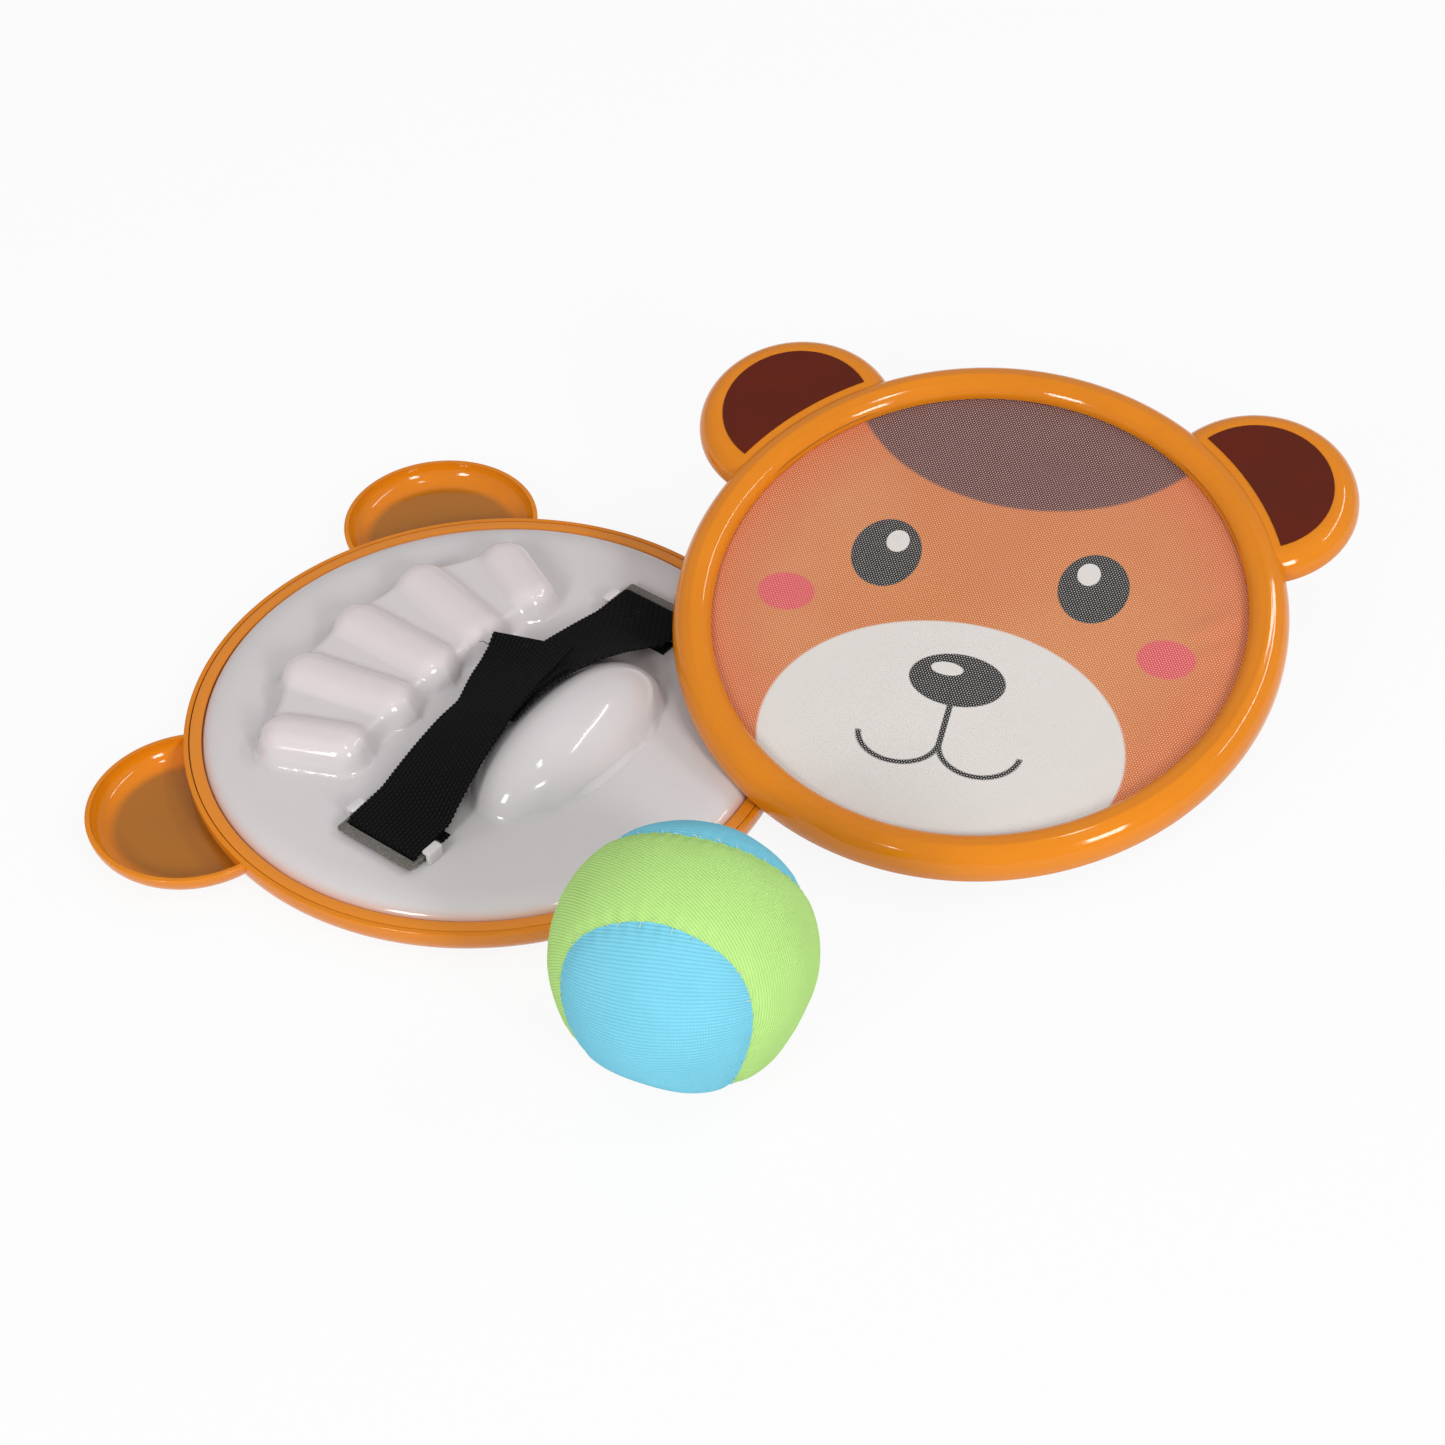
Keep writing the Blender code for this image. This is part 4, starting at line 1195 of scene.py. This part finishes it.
def band_shape(path, width, thickness, shift=None, widening=None, twist=None, end_sign=1):
    """Webbing along a path, leaning over the palm hump, with toothed woven edges."""
    bm = bmesh.new()
    bmesh.ops.create_grid(bm, x_segments=STRAP_STEPS_ALONG, y_segments=STRAP_STEPS_ACROSS, size=0.5)
    table = [along_path(path, index / STRAP_STEPS_ALONG) for index in range(STRAP_STEPS_ALONG + 1)]
    inset = (sizes().strap_width - width) / 2 / sizes().strap_width
    flat = {}
    for vert in bm.verts:
        index = round((vert.co.x + 0.5) * STRAP_STEPS_ALONG)
        across = vert.co.y + 0.5
        (x, height, share), length = table[index]
        side = 2.0 * across - 1.0
        is_edge = abs(side) > 0.99
        tooth = EDGE_TOOTH * math.sin(2 * math.pi * length / EDGE_PITCH) if is_edge else 0.0
        middle = STRAP_Y + STRAP_BOW * share + (shift(x) if shift else 0.0)
        half = width / 2 + (widening(x) / 2 if widening else 0.0)
        lift = STRAP_LEAN * share * (inset + (1.0 - 2.0 * inset) * across)
        slant, drop = twist(x) if twist else (0.0, 0.0)
        y = middle - half * side + tooth * side
        vert.co = Vector((end_sign * (x - slant * across), y, height + lift - drop * across))
        flat[vert.index] = (width * across, length)
    write_flat(bm, lambda loop: flat[loop.vert.index])
    top = min(bm.faces, key=lambda face: (face.calc_center_median().x - end_sign * 0.02) ** 2)
    outward(bm, lambda: top.normal.z > 0)
    for vert in bm.verts:
        vert.co += vert.normal * (thickness / 2)
    bmesh.ops.solidify(bm, geom=bm.faces[:], thickness=thickness)
    return bm


def thread_shape(points, radius):
    """Thin round thread: a small disc drawn out from point to point."""
    bm = bmesh.new()
    way = (Vector(points[1]) - Vector(points[0])).normalized()
    turn = way.to_track_quat("Z", "Y").to_matrix().to_4x4()
    place = Matrix.Translation(points[0]) @ turn
    bmesh.ops.create_circle(bm, cap_ends=True, segments=6, radius=radius, matrix=place)
    face = bm.faces[:][0]
    for here, there in zip(points, points[1:]):
        face = bmesh.ops.extrude_discrete_faces(bm, faces=[face])["faces"][0]
        bmesh.ops.translate(bm, verts=face.verts[:], vec=Vector(there) - Vector(here))
    bmesh.ops.holes_fill(bm, edges=bm.edges[:])
    write_flat(bm)
    return bm


def add_shape(bm, other):
    """Adds another bmesh's faces to this one."""
    mesh = bpy.data.meshes.new("part")
    other.to_mesh(mesh)
    other.free()
    bm.from_mesh(mesh)
    bpy.data.meshes.remove(mesh)


def loop_shape(end):
    """Flat loop: a wide bar under the strap, a slot and an outer strip with rounded corners."""
    half = loop_half()
    slot_in = LOOP_BAR_OUTER
    slot_out = slot_in + LOOP_SLOT
    xs = (slot_in - LOOP_INNER_BAR, slot_in, slot_out, slot_out + LOOP_STRIP)
    ys = (-half, -half + LOOP_LEG, half - LOOP_LEG, half)
    bm = bmesh.new()
    bmesh.ops.create_grid(bm, x_segments=3, y_segments=3, size=1.5)
    hole = min(bm.faces, key=lambda face: face.calc_center_median().length)
    bmesh.ops.delete(bm, geom=[hole], context="FACES_ONLY")
    for vert in bm.verts:
        column = round(vert.co.x + 1.5)
        row = round(vert.co.y + 1.5)
        vert.co = Vector((end * xs[column], STRAP_Y + ys[row], LOOP_BOTTOM))
    made = bmesh.ops.extrude_face_region(bm, geom=bm.faces[:])["geom"]
    moved = [item for item in made if isinstance(item, bmesh.types.BMVert)]
    bmesh.ops.translate(bm, verts=moved, vec=(0, 0, LOOP_THICKNESS))
    bmesh.ops.recalc_face_normals(bm, faces=bm.faces[:])
    corners = []
    for edge in bm.edges:
        first, second = (vert.co for vert in edge.verts)
        is_upright = (first.xy - second.xy).length < 1e-6
        is_outside = abs(abs(first.y - STRAP_Y) - half) < 1e-6 and edge.calc_face_angle(0.0) > 1.0
        if is_upright and is_outside:
            corners.append(edge)
    bevelled(bm, corners, LOOP_CORNER, 3)
    bevelled(bm, sharp_edges(bm), LOOP_BEVEL, 1)
    return bm


# Ball


def seam_point(t):
    """Unit vector of the ball's seam, which runs round the ball as t goes from 0 to 4 pi."""
    polar = math.pi / 2 - (math.pi / 2 - BALL_SEAM_POLAR) * math.cos(t)
    around = t / 2 + BALL_SEAM_POLAR * math.sin(2 * t)
    level = math.sin(polar)
    return Vector((level * math.cos(around), level * math.sin(around), math.cos(polar)))


def panel_edge_point(t, gap):
    """Seam point moved into the upper panel by half of the seam's gap."""
    small = 1e-4
    here = seam_point(t)
    along = (seam_point(t + small) - seam_point(t - small)).normalized()
    inward = here.cross(along).normalized()
    return (here + inward * (gap / 2 / sizes().ball_radius)).normalized()


def ball_matrix():
    """From the ball's own frame to the set's."""
    low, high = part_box("ball_filling")
    centre = (Vector(low) + Vector(high)) / 2
    lean = Matrix.Rotation(BALL_LEAN[0], 4, "X") @ Matrix.Rotation(BALL_LEAN[1], 4, "Y")
    return Matrix.Translation(centre) @ lean @ Matrix.Rotation(BALL_TURN, 4, "Z")


def lump(direction):
    """How far the soft ball stands in or out of a true sphere, as a share of its radius."""
    slow = noise.noise(direction * 1.3 + Vector((3.1, 0.4, 7.7)))
    small = noise.noise(direction * 4.5 + Vector((1.7, 5.2, 0.3)))
    dent = sum(depth * bell(direction.angle(Vector(way)), width) for way, depth, width in DENTS)
    return 0.010 * slow + 0.0035 * small - 0.010 - dent


def panel_direction(along, across):
    """Unit vector in the upper panel; along runs from end to end of the bone, both from 0 to 1."""
    reach = math.pi - LOBE_END
    t = reach * (2.0 * along - 1.0)
    edge = panel_edge_point(t, 0.0)
    other = Vector((-edge.x, edge.y, edge.z))
    direction = edge.slerp(other, across)
    share = (abs(t) - math.pi / 3) / (reach - math.pi / 3)
    if share > 0.0:
        sign = math.copysign(1.0, t)
        end = panel_edge_point(sign * reach, 0.0)
        chord = end.slerp(Vector((-end.x, end.y, end.z)), across)
        around = panel_edge_point(sign * (reach + 2.0 * LOBE_END * min(across, 1.0 - across)), 0.0)
        if across > 0.5:
            around.x = -around.x
        direction = (direction + (around - chord) * smoothed(share)).normalized()
    return direction


def panel_shape(is_twin):
    """One dog-bone cover panel, puffed between its seams and puckered along them."""
    radius = sizes().ball_radius
    turn = Matrix.Rotation(math.pi, 3, Vector((1, 1, 0))) if is_twin else Matrix.Identity(3)
    to_set = ball_matrix().to_3x3()
    bm = bmesh.new()
    bmesh.ops.create_grid(bm, x_segments=SEAM_STEPS, y_segments=ACROSS_STEPS, size=0.5)
    count = SEAM_SAMPLES
    seam = [seam_point(-math.pi + 4 * math.pi * index / count) for index in range(count)]
    steps = [(second - first).length for first, second in zip(seam, seam[1:] + seam[:1])]
    walked = [sum(steps[:index]) * radius for index in range(count)]
    seam_length = sum(steps) * radius
    puckers = round(seam_length / PUCKER_PITCH)
    tree = kdtree.KDTree(count)
    for index, point in enumerate(seam):
        tree.insert(point, index)
    tree.balance()
    flat = {}
    for vert in bm.verts:
        direction = panel_direction(vert.co.x + 0.5, vert.co.y + 0.5)
        _, index, near = tree.find(direction)
        near *= radius
        wander = 2.0 * math.sin(100 * walked[index])
        fold = 0.5 + 0.5 * math.sin(2 * math.pi * puckers * walked[index] / seam_length + wander)
        dip = SEAM_DIP * bell(near, SEAM_WIDTH) + PUCKER_DEPTH * fold * bell(near - 0.0012, 0.0035)
        reach = radius * (1.0 + lump(to_set @ (turn @ direction))) - dip
        flat[vert.index] = (math.asin(direction.x) * radius, math.atan2(direction.y, direction.z) * radius)
        vert.co = direction * reach
    write_flat(bm, lambda loop: flat[loop.vert.index])
    face = bm.faces[:][0]
    outward(bm, lambda: face.normal.dot(face.calc_center_median()) > 0)
    bmesh.ops.solidify(bm, geom=bm.faces[:], thickness=COVER_THICKNESS)
    bmesh.ops.transform(bm, matrix=ball_matrix() @ turn.to_4x4(), verts=bm.verts[:])
    return bm


def stitches_shape():
    """Short pale thread ends that stand out of the ball's seam."""
    radius = sizes().ball_radius
    to_set = ball_matrix().to_3x3()
    chance = random.Random(11)
    bm = bmesh.new()
    for index in range(STITCH_ENDS):
        t = 4 * math.pi * (index + chance.uniform(-0.45, 0.45)) / STITCH_ENDS
        here = seam_point(t)
        along = (seam_point(t + 0.01) - here).normalized()
        across = here.cross(along)
        way = (along * chance.uniform(-1.0, 1.0) + across * chance.uniform(-0.8, 0.8)).normalized()
        length = chance.uniform(0.0008, 0.0022)
        ground = radius * (1.0 + lump(to_set @ here)) - SEAM_DIP
        points = []
        for step, rise in enumerate((-0.0002, 0.0003, 0.0004, 0.0002)):
            bend = across * (0.0003 * math.sin(step * 1.3 + index))
            points.append(here * (ground + rise) + way * (length * step / 3) + bend)
        add_shape(bm, thread_shape(points, STITCH_RADIUS))
    bmesh.ops.transform(bm, matrix=ball_matrix(), verts=bm.verts[:])
    return bm


# Operators


class CATCHSET_OT_frames(bpy.types.Operator):
    """Adds both paddles' rings with their ears"""

    bl_idname = "catchset.frames"
    bl_label = "Frames"

    def execute(self, context):
        add_to_paddles("frame", frame_shape(), orange_plastic())
        return {"FINISHED"}


class CATCHSET_OT_clamp_rings(bpy.types.Operator):
    """Adds the rings that clamp the trays"""

    bl_idname = "catchset.clamp_rings"
    bl_label = "Clamp rings"

    def execute(self, context):
        material = bpy.data.materials["orange_plastic"]
        add_to_paddles("clamp_ring", clamp_shape(), material)
        return {"FINISHED"}


class CATCHSET_OT_ear_patches(bpy.types.Operator):
    """Adds the brown plates on the ears"""

    bl_idname = "catchset.ear_patches"
    bl_label = "Ear patches"

    def execute(self, context):
        material = brown_patch()
        for number, side in ((1, -1), (2, 1)):
            add_to_paddles(f"ear_patch_{number}", patch_shape(side), material)
        return {"FINISHED"}


class CATCHSET_OT_faces(bpy.types.Operator):
    """Adds the printed nets and the white sheets behind them"""

    bl_idname = "catchset.faces"
    bl_label = "Faces"

    def execute(self, context):
        backing = disc_shape(SHEET_BOTTOM, SHEET_RINGS, RING_STEPS, False)
        add_to_paddles("face_sheet", backing, white_backing())
        net_bm = disc_shape(NET_BOTTOM, NET_RINGS, NET_STEPS, True)
        for net in add_to_paddles("catch_mesh", net_bm, printed_net()):
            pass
        return {"FINISHED"}


class CATCHSET_OT_trays(bpy.types.Operator):
    """Adds the white backs with finger ridges, palm hump and hooks"""

    bl_idname = "catchset.trays"
    bl_label = "Trays"

    def execute(self, context):
        bm = tray_shape()
        for end in (-1, 1):
            for side in (-1, 1):
                add_shape(bm, hook_shape(end, side))
        add_to_paddles("back_tray", bm, white_plastic(), grip_matrix, 50.0)
        return {"FINISHED"}


class CATCHSET_OT_straps(bpy.types.Operator):
    """Adds the webbing, the tapes between its parts and its loose threads"""

    bl_idname = "catchset.straps"
    bl_label = "Straps"

    def execute(self, context):
        width = sizes().strap_width
        basket = webbing("basket_webbing", 1.35, 1.5, 0.00022)
        ribbed = webbing("ribbed_webbing", 1.05, 3.2, 0.00018)
        tape = webbing("tape", 0.8, 0.8, 0.0002)
        over_path = strap_path(OVER_END_X, over_lift)
        over = band_shape(over_path, width, STRAP_THICKNESS, over_shift, over_widening, over_twist)
        for points in LOOSE_THREADS:
            add_shape(over, thread_shape(points, THREAD_RADIUS))
        add_to_paddles("strap_over", over, basket, grip_matrix)
        under = band_shape(strap_path(-UNDER_END_X, lambda x: 0.0), width, STRAP_THICKNESS, end_sign=-1)
        add_to_paddles("strap_under", under, ribbed, grip_matrix)
        for name, layer in (("loop_patch", 0), ("hook_patch", 1)):
            lift = STRAP_THICKNESS + GAP + layer * (PATCH_THICKNESS + GAP) + PATCH_THICKNESS / 2
            path = []
            for index in range(PATCH_STEPS + 1):
                x = UNDER_END_X - PATCH_INSET - PATCH_LENGTH * index / PATCH_STEPS
                path.append((x, strap_base(x) + lift, lean_share(x)))
            patch = band_shape(path, width - 2 * PATCH_INSET, PATCH_THICKNESS)
            add_to_paddles(name, patch, tape, grip_matrix)
        return {"FINISHED"}


class CATCHSET_OT_strap_loops(bpy.types.Operator):
    """Adds the flat loops that hold the straps' ends"""

    bl_idname = "catchset.strap_loops"
    bl_label = "Strap loops"

    def execute(self, context):
        material = grey_loop()
        for number, end in ((1, 1), (2, -1)):
            add_to_paddles(f"strap_loop_{number}", loop_shape(end), material, grip_matrix)
        return {"FINISHED"}


class CATCHSET_OT_ball(bpy.types.Operator):
    """Adds the ball's two knitted panels and the thread ends on their seam"""

    bl_idname = "catchset.ball"
    bl_label = "Ball"

    def execute(self, context):
        colour = colours()
        green = knit("green_knit", colour.green, 0.85, math.radians(62))
        blue = knit("blue_knit", colour.blue, 1.15, math.radians(4))
        for name, is_twin, material in (("green", False, green), ("blue", True, blue)):
            node = f"ball_{name}_panel"
            mesh = mesh_of(panel_shape(is_twin), node, 80.0)
            piece = add_piece(node + "_dressed", mesh, material, node)
        ends = mesh_of(stitches_shape(), "ball_stitch_ends")
        add_piece("ball_stitch_ends", ends, thread("seam_thread", (0.74, 0.76, 0.66)))
        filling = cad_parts["ball_filling"]
        filling.data.materials.clear()
        filling.data.materials.append(foam())
        return {"FINISHED"}


class CATCHSET_OT_stage(bpy.types.Operator):
    """Adds the floor, the surroundings, the soft boxes and the camera"""

    bl_idname = "catchset.stage"
    bl_label = "Stage"

    def execute(self, context):
        add_floor()
        add_world()
        add_lamps()
        add_camera()
        context.scene.view_settings.view_transform = "Standard"
        return {"FINISHED"}


def add_floor():
    """Pale floor: white to the camera and in reflections, with the object's shadow on it."""
    bm = bmesh.new()
    bmesh.ops.create_grid(bm, x_segments=2, y_segments=2, size=FLOOR_SIZE)
    bmesh.ops.translate(bm, verts=bm.verts[:], vec=(0, 0, FLOOR_BOTTOM))
    mesh = bpy.data.meshes.new("floor")
    bm.to_mesh(mesh)
    bm.free()
    add_object("floor", mesh)
    surface = Surface("floor", 0.9, 0.0)
    surface.set("Base Color", (0.8, 0.8, 0.8))
    rays = surface.node("ShaderNodeLightPath", {}).outputs
    seen = surface.most(rays["Is Camera Ray"], rays["Is Glossy Ray"], rays["Is Transmission Ray"])
    glow = surface.node("ShaderNodeEmission", {"Color": WHITE, "Strength": 1.0})
    shaders = {0: seen * FLOOR_GLOW, 1: surface.shader.outputs[0], 2: glow.outputs[0]}
    mixed = surface.node("ShaderNodeMixShader", shaders)
    feed(surface.tree.nodes["Material Output"].inputs["Surface"], mixed.outputs[0])
    mesh.materials.append(surface.material)


def add_world():
    """White surroundings: full white to the camera, and of the given level as light."""
    stage = bpy.context.scene.catch_set_stage
    world = bpy.data.worlds.new("surroundings")
    world.use_nodes = True
    nodes = world.node_tree.nodes
    light = nodes["Background"]
    seen = nodes.new("ShaderNodeBackground")
    for background, strength in ((light, stage.world_level), (seen, 1.0)):
        feed(background.inputs["Color"], WHITE)
        feed(background.inputs["Strength"], strength)
    mixed = nodes.new("ShaderNodeMixShader")
    rays = nodes.new("ShaderNodeLightPath")
    for index, source in enumerate((rays.outputs["Is Camera Ray"], light.outputs[0], seen.outputs[0])):
        feed(mixed.inputs[index], source)
    feed(nodes["World Output"].inputs["Surface"], mixed.outputs[0])
    bpy.context.scene.world = world


def add_lamps():
    """Soft boxes that face the middle of the set."""
    stage = bpy.context.scene.catch_set_stage
    for name, place, width, length, share in LAMPS:
        data = bpy.data.lights.new(name, "AREA")
        data.shape = "RECTANGLE"
        data.size = width
        data.size_y = length
        data.energy = stage.lamp_power * share
        lamp = add_object(name, data)
        away = Vector(place).normalized()
        side = Vector((0.0, 0.0, 1.0)).cross(away).normalized()
        if name == "long_strip":
            side = side.cross(away)
        turn = Matrix((side, away.cross(side), away)).transposed()
        lamp.matrix_world = Matrix.Translation(place) @ turn.to_4x4()


def add_camera():
    """Camera as it stood for the photo."""
    stage = bpy.context.scene.catch_set_stage
    data = bpy.data.cameras.new("camera")
    data.sensor_width = 36.0
    data.lens = stage.lens
    camera = add_object("camera", data)
    tilt = Matrix.Rotation(math.pi / 2 - stage.camera_pitch, 4, "X")
    roll = Matrix.Rotation(stage.camera_roll, 4, "Z")
    camera.matrix_world = Matrix.Translation(stage.camera_place) @ tilt @ roll
    bpy.context.scene.camera = camera


class CATCHSET_PT_panel(bpy.types.Panel):
    """Lists the operators that build the set"""

    bl_idname = "CATCHSET_PT_panel"
    bl_label = "Catch set"
    bl_space_type = "VIEW_3D"
    bl_region_type = "UI"
    bl_category = "Catch set"

    def draw(self, context):
        for operator in OPERATORS:
            self.layout.operator(operator.bl_idname)
        for group, name in GROUPS:
            box = self.layout.box()
            for key in group.__annotations__:
                box.prop(getattr(context.scene, name), key)


GROUPS = (
    (CatchSetSizes, "catch_set_sizes"),
    (CatchSetColours, "catch_set_colours"),
    (CatchSetStage, "catch_set_stage"),
)
OPERATORS = (
    CATCHSET_OT_frames,
    CATCHSET_OT_clamp_rings,
    CATCHSET_OT_ear_patches,
    CATCHSET_OT_faces,
    CATCHSET_OT_trays,
    CATCHSET_OT_straps,
    CATCHSET_OT_strap_loops,
    CATCHSET_OT_ball,
    CATCHSET_OT_stage,
)


def register():
    for group, name in GROUPS:
        bpy.utils.register_class(group)
        setattr(bpy.types.Scene, name, PointerProperty(type=group))
    for operator in OPERATORS:
        bpy.utils.register_class(operator)
    bpy.utils.register_class(CATCHSET_PT_panel)


def unregister():
    bpy.utils.unregister_class(CATCHSET_PT_panel)
    for operator in reversed(OPERATORS):
        bpy.utils.unregister_class(operator)
    for group, name in reversed(GROUPS):
        delattr(bpy.types.Scene, name)
        bpy.utils.unregister_class(group)


def main():
    register()
    bpy.ops.catchset.frames()
    bpy.ops.catchset.clamp_rings()
    bpy.ops.catchset.ear_patches()
    bpy.ops.catchset.faces()
    bpy.ops.catchset.trays()
    bpy.ops.catchset.straps()
    bpy.ops.catchset.strap_loops()
    bpy.ops.catchset.ball()
    bpy.ops.catchset.stage()
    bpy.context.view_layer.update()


if __name__ == "__main__":
    main()
